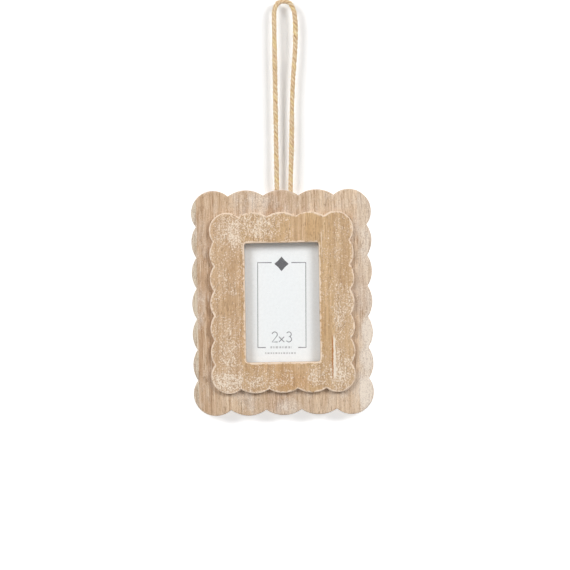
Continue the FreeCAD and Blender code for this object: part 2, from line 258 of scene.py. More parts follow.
class Nodes:
    """Adds nodes to one node tree and links them."""

    def __init__(self, tree):
        self.tree = tree

    def add(self, kind, inputs=None, **settings):
        node = self.tree.nodes.new(kind)
        for name, value in settings.items():
            setattr(node, name, value)
        return Made(self, node, inputs)

    def found(self, kind):
        """The node of that type that the tree already has."""
        return Made(self, next(node for node in self.tree.nodes if node.type == kind))

    def math(self, operation, *values):
        """A Math node, or a Vector Math node where a value is a vector."""
        if not any(is_vector(value) for value in values):
            return self.add("ShaderNodeMath", dict(enumerate(values)), operation=operation)["Value"]
        if operation == "MULTIPLY" and not all(is_vector(value) for value in values):
            vector, scale = values if is_vector(values[0]) else reversed(values)
            inputs = {0: vector, "Scale": scale}
            return self.add("ShaderNodeVectorMath", inputs, operation="SCALE")["Vector"]
        output = "Value" if operation in {"LENGTH", "DOT_PRODUCT"} else "Vector"
        return self.add("ShaderNodeVectorMath", dict(enumerate(values)), operation=operation)[output]

    def vector(self, x=0.0, y=0.0, z=0.0):
        return self.add("ShaderNodeCombineXYZ", {"X": x, "Y": y, "Z": z})["Vector"]

    def sine(self, value):
        return self.math("SINE", value)

    def cosine(self, value):
        return self.math("COSINE", value)

    def noise(self, place, scale, detail=2.0, roughness=0.5, output="Fac"):
        """Noise at a place, which is a vector or the three parts of one."""
        place = self.vector(*place) if isinstance(place, tuple) else place
        inputs = {"Vector": place, "Scale": scale, "Detail": detail, "Roughness": roughness}
        return self.add("ShaderNodeTexNoise", inputs)[output]

    def ramp(self, value, low, high, start=0.0, end=1.0):
        """The value's smooth way from low to high, as start to end, and level outside them."""
        inputs = {"Value": value, "From Min": low, "From Max": high, "To Min": start, "To Max": end}
        return self.add("ShaderNodeMapRange", inputs, interpolation_type="SMOOTHSTEP")["Result"]

    def mix(self, share, first, second, blend="MIX"):
        """Two colours mixed by a share."""
        inputs = {"Factor_Float": share, "A_Color": first, "B_Color": second}
        return self.add("ShaderNodeMix", inputs, data_type="RGBA", blend_type=blend)["Result_Color"]

    def between(self, share, first, second):
        """A share of the way between two plain colours."""
        return self.mix(share, opaque(first), opaque(second))

    def layered(self, colour, *layers):
        """The colour with others laid over it in turn, each a share and a colour."""
        for share, layer in layers:
            colour = self.mix(share, colour, opaque(layer))
        return colour

    def attribute(self, name, output="Fac"):
        return self.add("ShaderNodeAttribute", attribute_name=name)[output]

    def group(self, maker, inputs):
        """A shader group that its maker builds once, placed here with its own values."""
        if maker not in SHARED_GROUPS:
            SHARED_GROUPS[maker] = maker()
        return self.add("ShaderNodeGroup", inputs, node_tree=SHARED_GROUPS[maker])

    def position(self):
        return self.add("GeometryNodeInputPosition")["Position"]


SHARED_GROUPS = {}
SOCKET_KINDS = {
    "length": "Float", "number": "Float", "whole": "Int", "yes_or_no": "Bool", "vector": "Vector",
    "material": "Material", "geometry": "Geometry",
}


def new_tree(kind, name, inputs, outputs):
    """A node tree with named inputs and outputs, each of a kind of SOCKET_KINDS."""
    tree = bpy.data.node_groups.new(name, kind)
    for way, sockets in (("INPUT", inputs), ("OUTPUT", outputs)):
        for socket_name, socket_kind in sockets.items():
            socket_type = f"NodeSocket{SOCKET_KINDS[socket_kind]}"
            socket = tree.interface.new_socket(socket_name, in_out=way, socket_type=socket_type)
            if socket_kind == "length":
                socket.subtype = "DISTANCE"
    nodes = Nodes(tree)
    return nodes, nodes.add("NodeGroupInput"), nodes.add("NodeGroupOutput")


def new_geometry_tree(name, lengths, others=()):
    """A Geometry Nodes tree that takes a shape, named lengths, other named values and a material."""
    named = {**dict.fromkeys(lengths, "length"), **dict(others)}
    inputs = {"Geometry": "geometry", **named, "Material": "material"}
    nodes, given, leave = new_tree("GeometryNodeTree", name, inputs, {"Geometry": "geometry"})
    nodes.tree.is_modifier = True
    return nodes, given, leave


def end_geometry_tree(nodes, given, leave, geometry):
    """Ends a tree with a plain mesh in the material that it was given."""
    geometry = nodes.add("GeometryNodeRealizeInstances", {"Geometry": geometry})["Geometry"]
    inputs = {"Geometry": geometry, "Material": given["Material"]}
    leave.give({"Geometry": nodes.add("GeometryNodeSetMaterial", inputs)["Geometry"]})
    return nodes.tree


def data_type(value):
    return "FLOAT_VECTOR" if is_vector(value) else "FLOAT"


def store(nodes, geometry, name, value, domain="POINT"):
    """The geometry with a named attribute."""
    inputs = {"Geometry": geometry, "Name": name, "Value": value}
    settings = {"data_type": data_type(value), "domain": domain}
    return nodes.add("GeometryNodeStoreNamedAttribute", inputs, **settings)["Geometry"]


def stored(nodes, name, kind="FLOAT"):
    return nodes.add("GeometryNodeInputNamedAttribute", {"Name": name}, data_type=kind)["Attribute"]


def stored_vector(nodes, name):
    return stored(nodes, name, "FLOAT_VECTOR")


def put_at(nodes, geometry, position):
    return nodes.add("GeometryNodeSetPosition", {"Geometry": geometry, "Position": position})["Geometry"]


def shifted(nodes, geometry, offset):
    return nodes.add("GeometryNodeSetPosition", {"Geometry": geometry, "Offset": offset})["Geometry"]


def moved(nodes, geometry, move=(0.0, 0.0, 0.0), turn=(0.0, 0.0, 0.0)):
    inputs = {"Geometry": geometry, "Translation": move, "Rotation": turn}
    return nodes.add("GeometryNodeTransform", inputs)["Geometry"]


def joined(nodes, *parts):
    return nodes.add("GeometryNodeJoinGeometry", {"Geometry": list(parts)})["Geometry"]


def switched(nodes, switch, yes, no, kind="GEOMETRY"):
    inputs = {"Switch": switch, "True": yes, "False": no}
    return nodes.add("GeometryNodeSwitch", inputs, input_type=kind)["Output"]


def swept(nodes, line, profile):
    """A closed skin along a line, with the profile as its section."""
    inputs = {"Curve": line, "Profile Curve": profile, "Fill Caps": True}
    return nodes.add("GeometryNodeCurveToMesh", inputs)["Mesh"]


def rectangle(nodes, width, height):
    return nodes.add("GeometryNodeCurvePrimitiveQuadrilateral", {"Width": width, "Height": height})["Curve"]


def ring(nodes, points, radius):
    return nodes.add("GeometryNodeCurvePrimitiveCircle", {"Resolution": points, "Radius": radius})["Curve"]


def arc(nodes, points, radius, start, sweep):
    inputs = {"Resolution": points, "Radius": radius, "Start Angle": start, "Sweep Angle": sweep}
    return nodes.add("GeometryNodeCurveArc", inputs)["Curve"]


def evenly_spaced(nodes, line, spacing):
    inputs = {"Curve": line, "Length": spacing}
    return nodes.add("GeometryNodeResampleCurve", inputs, mode="LENGTH")["Curve"]


def with_radius(nodes, line, radius):
    return nodes.add("GeometryNodeSetCurveRadius", {"Curve": line, "Radius": radius})["Curve"]


# Every outline below is a closed line in its own plane, with the way out of the wood stored at each
# of its points, and with the radius that the edge is rounded to there. ARRIS is stored on the boards:
# how far a point of the surface lies from the front's edge.
WAY_OUT = "way_out"
ROUNDING = "rounding"
ARRIS = "arris"


def repeated_arc(nodes, points, first, last, radius, start, step, count):
    """An arc, repeated along one side, and the same turned half round for the side across."""
    scallop = arc(nodes, points, radius, first, last - first)
    copies = []
    for sign, turn in ((1, 0.0), (-1, math.pi)):
        inputs = {"Count": count, "Start Location": start * sign, "Offset": step * sign}
        line = nodes.add("GeometryNodeMeshLine", inputs, mode="OFFSET")["Mesh"]
        inputs = {"Points": line, "Instance": scallop, "Rotation": (0.0, 0.0, turn)}
        placed = nodes.add("GeometryNodeInstanceOnPoints", inputs)["Instances"]
        copies.append(store(nodes, placed, "centre", nodes.position(), "INSTANCE"))
    return copies


def scallop_side(nodes, length, corner, notch, count):
    """How far the first notch is from the board's corner, then the pitch and radius of the scallops."""
    span = corner + nodes.math("SQRT", notch * (corner * 2 - notch))
    pitch = (length - span * 2) / (count - 2)
    radius = pitch * pitch / (notch * 8) + notch / 2
    return span, pitch, radius


def scallop_outline(nodes, given):
    """The board's outline: arcs along each side and at each corner, joined in order round the board."""
    width, height, corner = given["Width"], given["Height"], given["Corner"]
    notch_across, notch_down = given["Notch Across"], given["Notch Down"]
    across, down = given["Scallops Across"], given["Scallops Down"]
    span_x, pitch_x, radius_x = scallop_side(nodes, width, corner, notch_across, across)
    span_y, pitch_y, radius_y = scallop_side(nodes, height, corner, notch_down, down)
    half_x = nodes.math("ARCSINE", pitch_x / (radius_x * 2))
    half_y = nodes.math("ARCSINE", pitch_y / (radius_y * 2))
    corner_first = nodes.math("ARCTAN2", corner - span_y, corner - notch_down)
    corner_last = nodes.math("ARCTAN2", corner - notch_across, corner - span_x)
    corner_x, corner_y = width / 2 - corner, height / 2 - corner
    top_start = nodes.vector(pitch_x * (across - 3) / -2, height / 2 - radius_x)
    side_start = nodes.vector(width / 2 - radius_y, pitch_y * (down - 3) / -2)
    left, right = nodes.vector(-corner_x, corner_y), nodes.vector(corner_x, corner_y)
    still = nodes.vector()
    # First and last angle of an arc, its radius, the first one's place, the step to the next, the count
    rows = (
        (QUARTER - half_x, QUARTER + half_x, radius_x, top_start, nodes.vector(pitch_x), across - 2),
        (-half_y, half_y, radius_y, side_start, nodes.vector(0.0, pitch_y), down - 2),
        (corner_first, corner_last, corner, right, still, 1),
        (math.pi - corner_last, math.pi - corner_first, corner, left, still, 1),
    )
    arcs = joined(nodes, *(copy for row in rows for copy in repeated_arc(nodes, given["Arc Points"], *row)))
    arcs = nodes.add("GeometryNodeRealizeInstances", {"Geometry": arcs})["Geometry"]
    dots = nodes.add("GeometryNodeCurveToPoints", {"Curve": arcs}, mode="EVALUATED")["Points"]
    position = nodes.position()
    out = position - stored_vector(nodes, "centre")
    # Two arcs share each notch point. A step towards its own arc's centre puts each in its order.
    nudged = position - out * 0.02
    order = nodes.math("ARCTAN2", nudged.y, nudged.x)
    line = nodes.add("GeometryNodePointsToCurves", {"Points": dots, "Weight": order})["Curves"]
    line = nodes.add("GeometryNodeSetSplineCyclic", {"Geometry": line, "Cyclic": True})["Geometry"]
    return store(nodes, line, WAY_OUT, nodes.math("NORMALIZE", out))


OPENING_SPACING = 0.45 * MM


def opening_outline(nodes, width, height, corner):
    """The outline of a rectangular opening with round corners. The way out of the wood is inwards."""
    inputs = {"Curve": rectangle(nodes, width, height), "Radius": corner, "Count": 8, "Limit Radius": True}
    line = nodes.add("GeometryNodeFilletCurve", inputs, mode="POLY")["Curve"]
    line = evenly_spaced(nodes, line, OPENING_SPACING)
    tangent = nodes.add("GeometryNodeInputTangent")["Tangent"]
    across = nodes.math("CROSS_PRODUCT", tangent, (0.0, 0.0, 1.0))
    away = nodes.math("SIGN", nodes.math("DOT_PRODUCT", across, nodes.position()))
    return store(nodes, line, WAY_OUT, across * -away)


# How many waves of the saw's straying, and of the sandpaper's wear, a metre of edge has
STRAY_SCALE = 55.0
WEAR_SCALE = 210.0


def hand_cut(nodes, outline, unevenness, rounding, seed):
    """The outline as a hand saw and sandpaper leave it: a little off the line, the edge never even."""
    place = nodes.position() + nodes.vector(seed)
    stray = nodes.noise(place, STRAY_SCALE, output="Color") - (0.5, 0.5, 0.5)
    stray = nodes.vector(stray.x, stray.y) * (unevenness * 2)
    wear = nodes.ramp(nodes.noise(place, WEAR_SCALE, 3.0), 0.3, 0.7, 0.55, 1.5)
    return shifted(nodes, store(nodes, outline, ROUNDING, wear * rounding), stray)


def sample(nodes, outline, value, index):
    inputs = {"Geometry": outline, "Value": value, "Index": index}
    settings = {"data_type": data_type(value), "domain": "POINT"}
    return nodes.add("GeometryNodeSampleIndex", inputs, **settings)["Value"]


def edge_band(nodes, outline, steps, inset, depth):
    """A band of faces round an outline. inset into the wood, and depth behind the front face, are
    formulas of the share of the way across the band and of the edge's rounding."""
    size = nodes.add("GeometryNodeAttributeDomainSize", {"Geometry": outline}, component="CURVE")
    count = size["Point Count"]
    inputs = {"Size X": 1.0, "Size Y": 1.0, "Vertices X": count + 1, "Vertices Y": steps + 1}
    grid = nodes.add("GeometryNodeMeshGrid", inputs)["Mesh"]
    position = nodes.position()
    index = nodes.math("MODULO", nodes.math("ROUND", (position.x + 0.5) * count), count)
    share = position.y + 0.5
    point = sample(nodes, outline, position, index)
    way_out = sample(nodes, outline, stored_vector(nodes, WAY_OUT), index)
    rounding = sample(nodes, outline, stored(nodes, ROUNDING), index)
    inset, depth = inset(share, rounding), depth(share, rounding)
    spot = point - way_out * inset - nodes.vector(0.0, 0.0, depth)
    grid = store(nodes, grid, "target", spot)
    grid = store(nodes, grid, ARRIS, inset + depth)
    return put_at(nodes, grid, stored_vector(nodes, "target"))


# Width of the band of even faces on the front, round the board and round the window
FLAT = 4.0 * MM
OPENING_FLAT = 3.0 * MM


def rounded_edge(nodes, outline, flat, far, back_rounding=None):
    """The flat rim of the front face, its rounded edge, the wall, and a rounded edge at the back."""
    back = 0.0 if back_rounding is None else back_rounding
    # Steps across, inset and depth of each band
    bands = (
        (5, lambda share, r: r + (flat - r) * nodes.math("POWER", 1 - share, 1.6), lambda share, r: r * 0.0),
        (
            5,
            lambda share, r: r * (1 - nodes.sine(share * QUARTER)),
            lambda share, r: r * (1 - nodes.cosine(share * QUARTER)),
        ),
        (4, lambda share, r: r * 0.0, lambda share, r: r + (far - r - back) * share),
        (
            3,
            lambda share, r: back * (1 - nodes.cosine(share * QUARTER)),
            lambda share, r: far - back * (1 - nodes.sine(share * QUARTER)),
        ),
    )
    return [edge_band(nodes, outline, *band) for band in bands[:3 if back_rounding is None else 4]]


def flat_face(nodes, outer, outer_inset, inner, inner_inset, depth):
    """The flat of the wood between two outlines, each drawn in from its edge."""
    loops = [
        shifted(nodes, outline, stored_vector(nodes, WAY_OUT) * (inset * -1))
        for outline, inset in ((outer, outer_inset), (inner, inner_inset))
    ]
    inputs = {"Curve": joined(nodes, *loops)}
    face = nodes.add("GeometryNodeFillCurve", inputs, mode="TRIANGLES")["Mesh"]
    face = store(nodes, face, ARRIS, depth + FLAT)
    return moved(nodes, face, nodes.vector(0.0, 0.0, depth * -1))


# The share of the board's unevenness that an opening has, and the step to its own part of the noise
WINDOW_CUT = (0.7, 0.44)
REBATE_CUT = (0.3, 0.87)
# How near to each other, in metres, points of the board are welded
WELD = 2e-6


def scalloped_board_tree():
    """A board with scalloped edges and a window, and where asked a rebate behind it."""
    lengths = (
        "Width", "Height", "Thickness", "Corner", "Notch Across", "Notch Down", "Edge Round", "Unevenness",
        "Window Width", "Window Height", "Window Corner", "Window Round", "Rebate Width", "Rebate Height",
        "Rebate Corner", "Lip Thickness", "Middle X", "Front Y", "Middle Z",
    )
    others = {
        "Scallops Across": "whole", "Scallops Down": "whole", "Arc Points": "whole", "Rebate": "yes_or_no",
        "Seed": "number",
    }
    nodes, given, leave = new_geometry_tree("scalloped board", lengths, others)
    seed, thickness, lip = given["Seed"], given["Thickness"], given["Lip Thickness"]

    def opening(name, cut, rounding):
        share, seed_step = cut
        line = opening_outline(nodes, *(given[f"{name} {size}"] for size in ("Width", "Height", "Corner")))
        return hand_cut(nodes, line, given["Unevenness"] * share, rounding, seed + seed_step)

    outline = hand_cut(nodes, scallop_outline(nodes, given), given["Unevenness"], given["Edge Round"], seed)
    window = opening("Window", WINDOW_CUT, given["Window Round"])
    rebate = opening("Rebate", REBATE_CUT, given["Window Round"] * 0.4)
    back_rounding = given["Edge Round"] * 0.5
    window_depth = switched(nodes, given["Rebate"], lip, thickness, "FLOAT")
    rebate_walls = joined(
        nodes,
        edge_band(
            nodes, rebate, 1, lambda share, r: r * 0.0, lambda share, r: thickness + (lip - thickness) * share
        ),
        flat_face(nodes, rebate, 0.0, window, 0.0, lip),
        flat_face(nodes, outline, back_rounding, rebate, 0.0, thickness),
    )
    plain_back = flat_face(nodes, outline, back_rounding, window, 0.0, thickness)
    board = joined(
        nodes,
        *rounded_edge(nodes, outline, FLAT, thickness, back_rounding),
        *rounded_edge(nodes, window, OPENING_FLAT, window_depth),
        flat_face(nodes, outline, FLAT, window, OPENING_FLAT, 0.0),
        switched(nodes, given["Rebate"], rebate_walls, plain_back),
    )
    board = nodes.add("GeometryNodeMergeByDistance", {"Geometry": board, "Distance": WELD})["Geometry"]
    place = nodes.vector(given["Middle X"], given["Front Y"], given["Middle Z"])
    return end_geometry_tree(nodes, given, leave, moved(nodes, board, place, (QUARTER, 0.0, 0.0)))


def drilled_holes_tree():
    """Two blind holes for the twine, drilled down from a board's top edge."""
    lengths = ("Hole Diameter", "Hole Depth", "Left Hole", "Right Hole", "Hole Top")
    nodes, given, leave = new_geometry_tree("drilled holes", lengths)
    inputs = {"Vertices": 28, "Radius": given["Hole Diameter"] / 2, "Depth": given["Hole Depth"] * 2}
    drill = store(nodes, nodes.add("GeometryNodeMeshCylinder", inputs)["Mesh"], ARRIS, FLAT)
    drills = [
        moved(nodes, drill, nodes.vector(given[f"{side} Hole"], 0.0, given["Hole Top"]))
        for side in ("Left", "Right")
    ]
    inputs = {"Mesh 1": given["Geometry"], "Mesh 2": drills}
    board = nodes.add("GeometryNodeMeshBoolean", inputs, operation="DIFFERENCE", solver="EXACT")["Mesh"]
    return end_geometry_tree(nodes, given, leave, board)


def new_piece(name, mesh=None):
    """An object of the scene, at the origin."""
    piece = bpy.data.objects.new(name, mesh or bpy.data.meshes.new(name))
    bpy.context.scene.collection.objects.link(piece)
    return piece


def run_tree(piece, tree, values):
    """Runs a Geometry Nodes tree on a piece and keeps the result as its plain mesh."""
    modifier = piece.modifiers.new(tree.name, "NODES")
    modifier.node_group = tree
    items = (item for item in tree.interface.items_tree if item.in_out == "INPUT")
    identifiers = {item.name: item.identifier for item in items}
    for name, value in values.items():
        modifier[identifiers[name]] = value
    graph = bpy.context.evaluated_depsgraph_get()
    graph.update()
    result = piece.evaluated_get(graph)
    mesh = bpy.data.meshes.new_from_object(result, preserve_all_data_layers=True, depsgraph=graph)
    mesh.name = piece.name
    piece.modifiers.clear()
    piece.data = mesh
    return piece


MERGE_DISTANCE = 1e-6
SHORTEST_EDGE = 1e-7


def tidy_mesh(piece, sharp_angle=math.radians(40)):
    """Merges doubles, turns the faces outwards and shades smooth but for the sharp edges."""
    mesh = bmesh.new()
    mesh.from_mesh(piece.data)
    bmesh.ops.remove_doubles(mesh, verts=mesh.verts, dist=MERGE_DISTANCE)
    bmesh.ops.dissolve_degenerate(mesh, edges=mesh.edges, dist=SHORTEST_EDGE)
    bmesh.ops.recalc_face_normals(mesh, faces=mesh.faces)
    mesh.to_mesh(piece.data)
    mesh.free()
    piece.data.shade_smooth()
    piece.data.set_sharp_from_angle(angle=sharp_angle)


def new_shader_group(name, inputs, outputs):
    """A shader group. It takes a position and named numbers, and gives named numbers."""
    sockets = {"Position": "vector", **dict.fromkeys(inputs, "number")}
    return new_tree("ShaderNodeTree", name, sockets, dict.fromkeys(outputs, "number"))


def grain_group():
    """Wood grain along Z, in millimetres: broad streaks, fine fibres and dark pores."""
    outputs = ("Streaks", "Fibres", "Pores", "Height")
    nodes, given, leave = new_shader_group("wood grain", ["Strip"], outputs)
    position = given["Position"]
    bend = nodes.noise((position.x * 0.05, position.y * 0.05, position.z * 0.03), 1.0) - 0.5
    across = position.x + bend * 3.0
    depth = position.y + given["Strip"] * 90.0

    def lines(wide, long, *detail_and_roughness):
        return nodes.noise((across * wide, depth * wide, position.z * long), 1.0, *detail_and_roughness)

    streaks = lines(0.5, 0.014, 4.0, 0.62)
    fibres = lines(1.5, 0.045, 2.0, 0.6) * 0.6 + lines(3.6, 0.15, 2.0, 0.6) * 0.4
    pores = nodes.ramp(lines(2.4, 0.33, 1.0) + lines(0.3, 0.03) * 0.3, 0.78, 0.86)
    height = fibres * 0.6 - pores * 0.8
    leave.give({"Streaks": streaks, "Fibres": fibres, "Pores": pores, "Height": height})
    return nodes.tree


def limewash_group():
    """White paint left in specks after rubbing, on a thin film. More amount, more specks."""
    nodes, given, leave = new_shader_group("rubbed limewash", ["Amount", "Fibres"], ["Specks", "Film"])
    position = given["Position"]
    grains = nodes.noise((position.x * 1.45, position.y * 1.3, position.z * 1.2), 1.0, 2.0, 0.75)
    drift = nodes.noise((position.x * 0.3, position.y, position.z * 0.12), 1.0, 2.0)
    level = grains + given["Fibres"] * 0.25 + drift * 0.12 + 0.04
    amount = nodes.math("MINIMUM", given["Amount"], 1.25)
    limit = 0.93 - amount * 0.24
    film = nodes.ramp(amount + drift - 0.5, 0.2, 1.3) * nodes.ramp(grains, 0.3, 0.6, 0.6, 1.0)
    leave.give({"Specks": nodes.ramp(level - limit, -0.02, 0.09), "Film": film})
    return nodes.tree


def worn_edge_group():
    """A broken line along an edge, from the stored distance to it in metres."""
    nodes, given, leave = new_shader_group("worn edge", ["Distance", "Width"], ["Wear"])
    breakup = nodes.ramp(nodes.noise(given["Position"], 0.4, 2.0, 0.7), 0.3, 0.65, 0.4, 1.25)
    stretches = nodes.ramp(nodes.noise(given["Position"], 0.09, 1.0), 0.36, 0.6, 0.82, 1.15)
    nearness = given["Distance"] / (given["Width"] * breakup * stretches)
    strength = nodes.ramp(stretches, 0.65, 0.9, 0.75, 1.0)
    leave.give({"Wear": nodes.ramp(nearness, 0.5, 1.25, 1.0, 0.0) * strength})
    return nodes.tree


def mottle_group():
    """Pressed fibres, as in board and card: soft blotches and short hairs each way."""
    nodes, given, leave = new_shader_group("pressed fibres", [], ["Blotches", "Hairs", "Height"])
    position = given["Position"]
    blotches = nodes.noise(position, 0.22, 3.0, 0.6)
    bent = position + nodes.noise(position, 0.5, 1.0, output="Color") * 3.0
    upright, level = (
        nodes.ramp(nodes.noise((bent.x * wide, bent.y, bent.z * high), 1.0, 2.0), 0.6, 0.75)
        for wide, high in ((3.2, 0.7), (0.7, 3.2))
    )
    hairs = nodes.math("MAXIMUM", upright, level)
    leave.give({"Blotches": blotches, "Hairs": hairs, "Height": hairs * 0.5 + blotches})
    return nodes.tree


def new_material(name, **plain):
    """A material with a Principled shader, its plain values set on the shader's own sockets."""
    material = bpy.data.materials.new(name)
    material.use_nodes = True
    nodes = Nodes(material.node_tree)
    shader = nodes.found("BSDF_PRINCIPLED")
    names = {socket: socket.replace("_", " ").title().replace("Ior", "IOR") for socket in plain}
    shader.give({names[socket]: value for socket, value in plain.items()})
    return material, nodes, shader


def in_millimetres(nodes, middle):
    """Object coordinates about a point, in millimetres."""
    place = nodes.add("ShaderNodeTexCoord")["Object"]
    inputs = {"Vector": place, "Scale": (1 / MM,) * 3, "Location": tuple(-middle / MM)}
    return nodes.add("ShaderNodeMapping", inputs)["Vector"]


def bump(nodes, height, millimetres, strength=1.0):
    inputs = {"Height": height, "Distance": millimetres * MM, "Strength": strength}
    return nodes.add("ShaderNodeBump", inputs)["Normal"]


STRIP_SPAN = 110.0


def strip_share(position_x):
    return position_x / STRIP_SPAN + 0.5


def patches_mask(nodes, across, up, patches):
    """The sum of soft patches. Each is x, z, half width, half height and amount, in mm. One that stays
    on a strip gives the strip's left and right ends too."""
    total = nodes.vector().x
    for x, z, half_width, half_height, amount, *ends in patches:
        left, right = ends or WHOLE_BOARD
        sideways, upwards = (across - x) / half_width, (up - z) / half_height
        away = nodes.math("SQRT", sideways * sideways + upwards * upwards)
        patch = nodes.ramp(away, 0.3, 1.0, amount, 0.0)
        inside = nodes.math("COMPARE", across, (left + right) / 2, (right - left) / 2)
        total = total + patch * inside
    return total


def strip_paints(nodes, across, strips):
    """The boards are glued up from strips. Each strip is its left edge in mm, its colour and how much
    limewash it holds, which comes out of the ramp as its alpha."""
    made = nodes.add("ShaderNodeValToRGB", {"Fac": strip_share(across)})
    ramp = made.node.color_ramp
    ramp.interpolation = "CONSTANT"
    for place, (left, colour, amount) in enumerate(strips):
        start = max(0.0, strip_share(left))
        element = ramp.elements[place] if place < 2 else ramp.elements.new(start)
        element.position = start
        element.color = (*colour, amount)
    return made["Color"], made["Alpha"]


SCRATCH_FADE = 5.0


def scratch_mask(nodes, across, up, x, low, high, width):
    """A ragged scratch along the grain, in mm, that fades out at both ends."""
    wander = nodes.noise((up * 0.35, x, 0.0), 1.0, 3.0) - 0.5
    line = nodes.ramp(nodes.math("ABSOLUTE", across - x + wander * 0.9), width * 0.4, width, 1.0, 0.0)
    middle, half = (low + high) / 2, (high - low) / 2
    return line * nodes.ramp(nodes.math("ABSOLUTE", up - middle), half - SCRATCH_FADE, half, 1.0, 0.0)


def wood_material(name, settings, finish):
    """Limewashed wood: strips, grain, paint left in specks, stains and painted shade, and a rim worn pale."""
    material, nodes, shader = new_material(name, roughness=0.62, specular_ior_level=0.3)
    position = in_millimetres(nodes, PLATES_MIDDLE)
    across = position.x + (nodes.noise(position * 0.6, 1.0, 2.0) - 0.5) * 0.5
    up = position.z + (nodes.noise(position * 0.25, 1.0, 2.0) - 0.5) * 6.0
    strip, held = strip_paints(nodes, across, finish["strips"])
    grain = nodes.group(grain_group, {"Position": position, "Strip": strip.x})
    fibres = grain["Fibres"]
    streaks = nodes.ramp(grain["Streaks"], 0.32, 0.68)
    tone = nodes.mix(streaks, (0.85, 0.8, 0.75, 1.0), (1.09, 1.11, 1.14, 1.0))
    cloud = nodes.ramp(nodes.noise(position, 0.07, 3.0, 0.6), 0.3, 0.7, -0.2, 0.2)
    amount = held + patches_mask(nodes, across, up, finish["patches"]) + cloud
    rubbed = nodes.noise((position.x * 1.7, position.y * 1.4, position.z * 1.4), 1.0, 2.0, 0.8)
    mottled = nodes.ramp(rubbed, 0.52, 0.34) * nodes.ramp(amount, 0.2, 0.9, 0.35, 1.0) * finish["mottle"]
    # The back face was never painted
    painted = nodes.ramp(position.y, 4.0, 4.4, 1.0, 0.0)
    wash = nodes.group(limewash_group, {"Position": position, "Amount": amount * painted, "Fibres": fibres})
    rim = {"Position": position, "Distance": nodes.attribute(ARRIS), "Width": finish["rim_width"] * MM}
    wear = nodes.group(worn_edge_group, rim)["Wear"]
    colour = nodes.layered(
        nodes.mix(1.0, strip, tone, "MULTIPLY"),
        # Stains, some of them painted shade: on the back board the front board's shadow down its left side,
        # on the front board its lower part made darker as less lit
        (patches_mask(nodes, across, up, finish["stains"]), finish["stain"]),
        (mottled, linear(156, 115, 78)),
        (nodes.ramp(fibres, 0.5, 0.33, 0.0, finish["dark_grain"]), linear(150, 110, 74)),
        (nodes.ramp(fibres, 0.54, 0.68, 0.0, finish["pale_grain"]), linear(240, 221, 196)),
        (grain["Pores"] * 0.5, settings.pore),
        (wash["Film"] * painted * finish["film"], finish["film_colour"]),
        (wash["Specks"] * finish["speck"], settings.limewash),
        *((scratch_mask(nodes, across, up, *scratch), ink) for *scratch, ink in finish["scratches"]),
        (wear * finish["rim_strength"], finish["rim"]),
    )
    shader.give({
        "Base Color": colour,
        "Roughness": 0.56 + fibres * 0.16 + wash["Specks"] * 0.12,
        "Normal": bump(nodes, grain["Height"] + wash["Specks"] * 0.5, 0.12, 0.7),
    })
    return material


# All in mm from the boards' middle. Strips: left edge, colour, limewash held. Patches, and stains and painted
# shade: x, z, half width, half height, amount, and where it stays on strips, their two ends. Scratches: x,
# lowest z, highest z, width, colour.
WHOLE_BOARD = (-60.0, 60.0)
BACK_FIRST_STRIP, BACK_LAST_STRIP = (-60.0, -48.1), (42.8, 60.0)
FRONT_FIRST_STRIP, FRONT_SECOND_STRIP = (-60.0, -23.6), (-23.6, 5.3)
BACK_FINISH = {
    "strips": (
        (-55.0, linear(210, 196, 174), 0.4),
        (-48.1, linear(208, 179, 149), 0.3),
        (-38.0, linear(218, 191, 161), 0.35),
        (-27.0, linear(214, 187, 157), 0.45),
        (-9.5, linear(208, 180, 153), 0.4),
        (3.0, linear(213, 188, 161), 0.45),
        (16.5, linear(223, 198, 170), 0.35),
        (31.0, linear(224, 199, 171), 0.4),
        (42.8, linear(225, 206, 184), 0.42),
    ),
    "patches": (
        (48.5, -17.0, 6.5, 13.0, 0.95, *BACK_LAST_STRIP),
        (47.0, -52.0, 9.0, 14.0, 0.75, *BACK_LAST_STRIP),
        (47.0, -32.0, 6.0, 9.0, 0.7, *BACK_LAST_STRIP),
        (-12.0, 56.0, 7.0, 8.0, 0.4),
        (-46.0, -5.0, 4.0, 16.0, 0.25, -48.1, 0.0),
        (-51.0, -2.0, 9.0, 24.0, -0.5, *BACK_FIRST_STRIP),
        (3.0, -58.0, 8.0, 6.0, 0.4),
        (46.0, 33.0, 5.0, 12.0, 0.25, *BACK_LAST_STRIP),
    ),
    "stains": (
        # Painted shadow of the front board on the back board, down its left side
        (-44.0, 2.0, 8.0, 48.0, 0.3, -48.1, 60.0),
        (-4.0, 55.0, 9.0, 9.0, 0.12),
        (-8.0, -57.0, 16.0, 6.0, 0.12),
        (44.5, 0.0, 6.0, 26.0, 0.4),
    ),
    "scratches": (),
    # Colour of the stains and of the painted shadow
    "stain": linear(168, 128, 92),
    "dark_grain": 0.8,
    "mottle": 0.9,
    "pale_grain": 0.7,
    "film": 0.8,
    "film_colour": linear(234, 225, 216),
    "speck": 0.6,
    "rim": linear(224, 206, 186),
    "rim_width": 0.8,
    "rim_strength": 0.4,
}
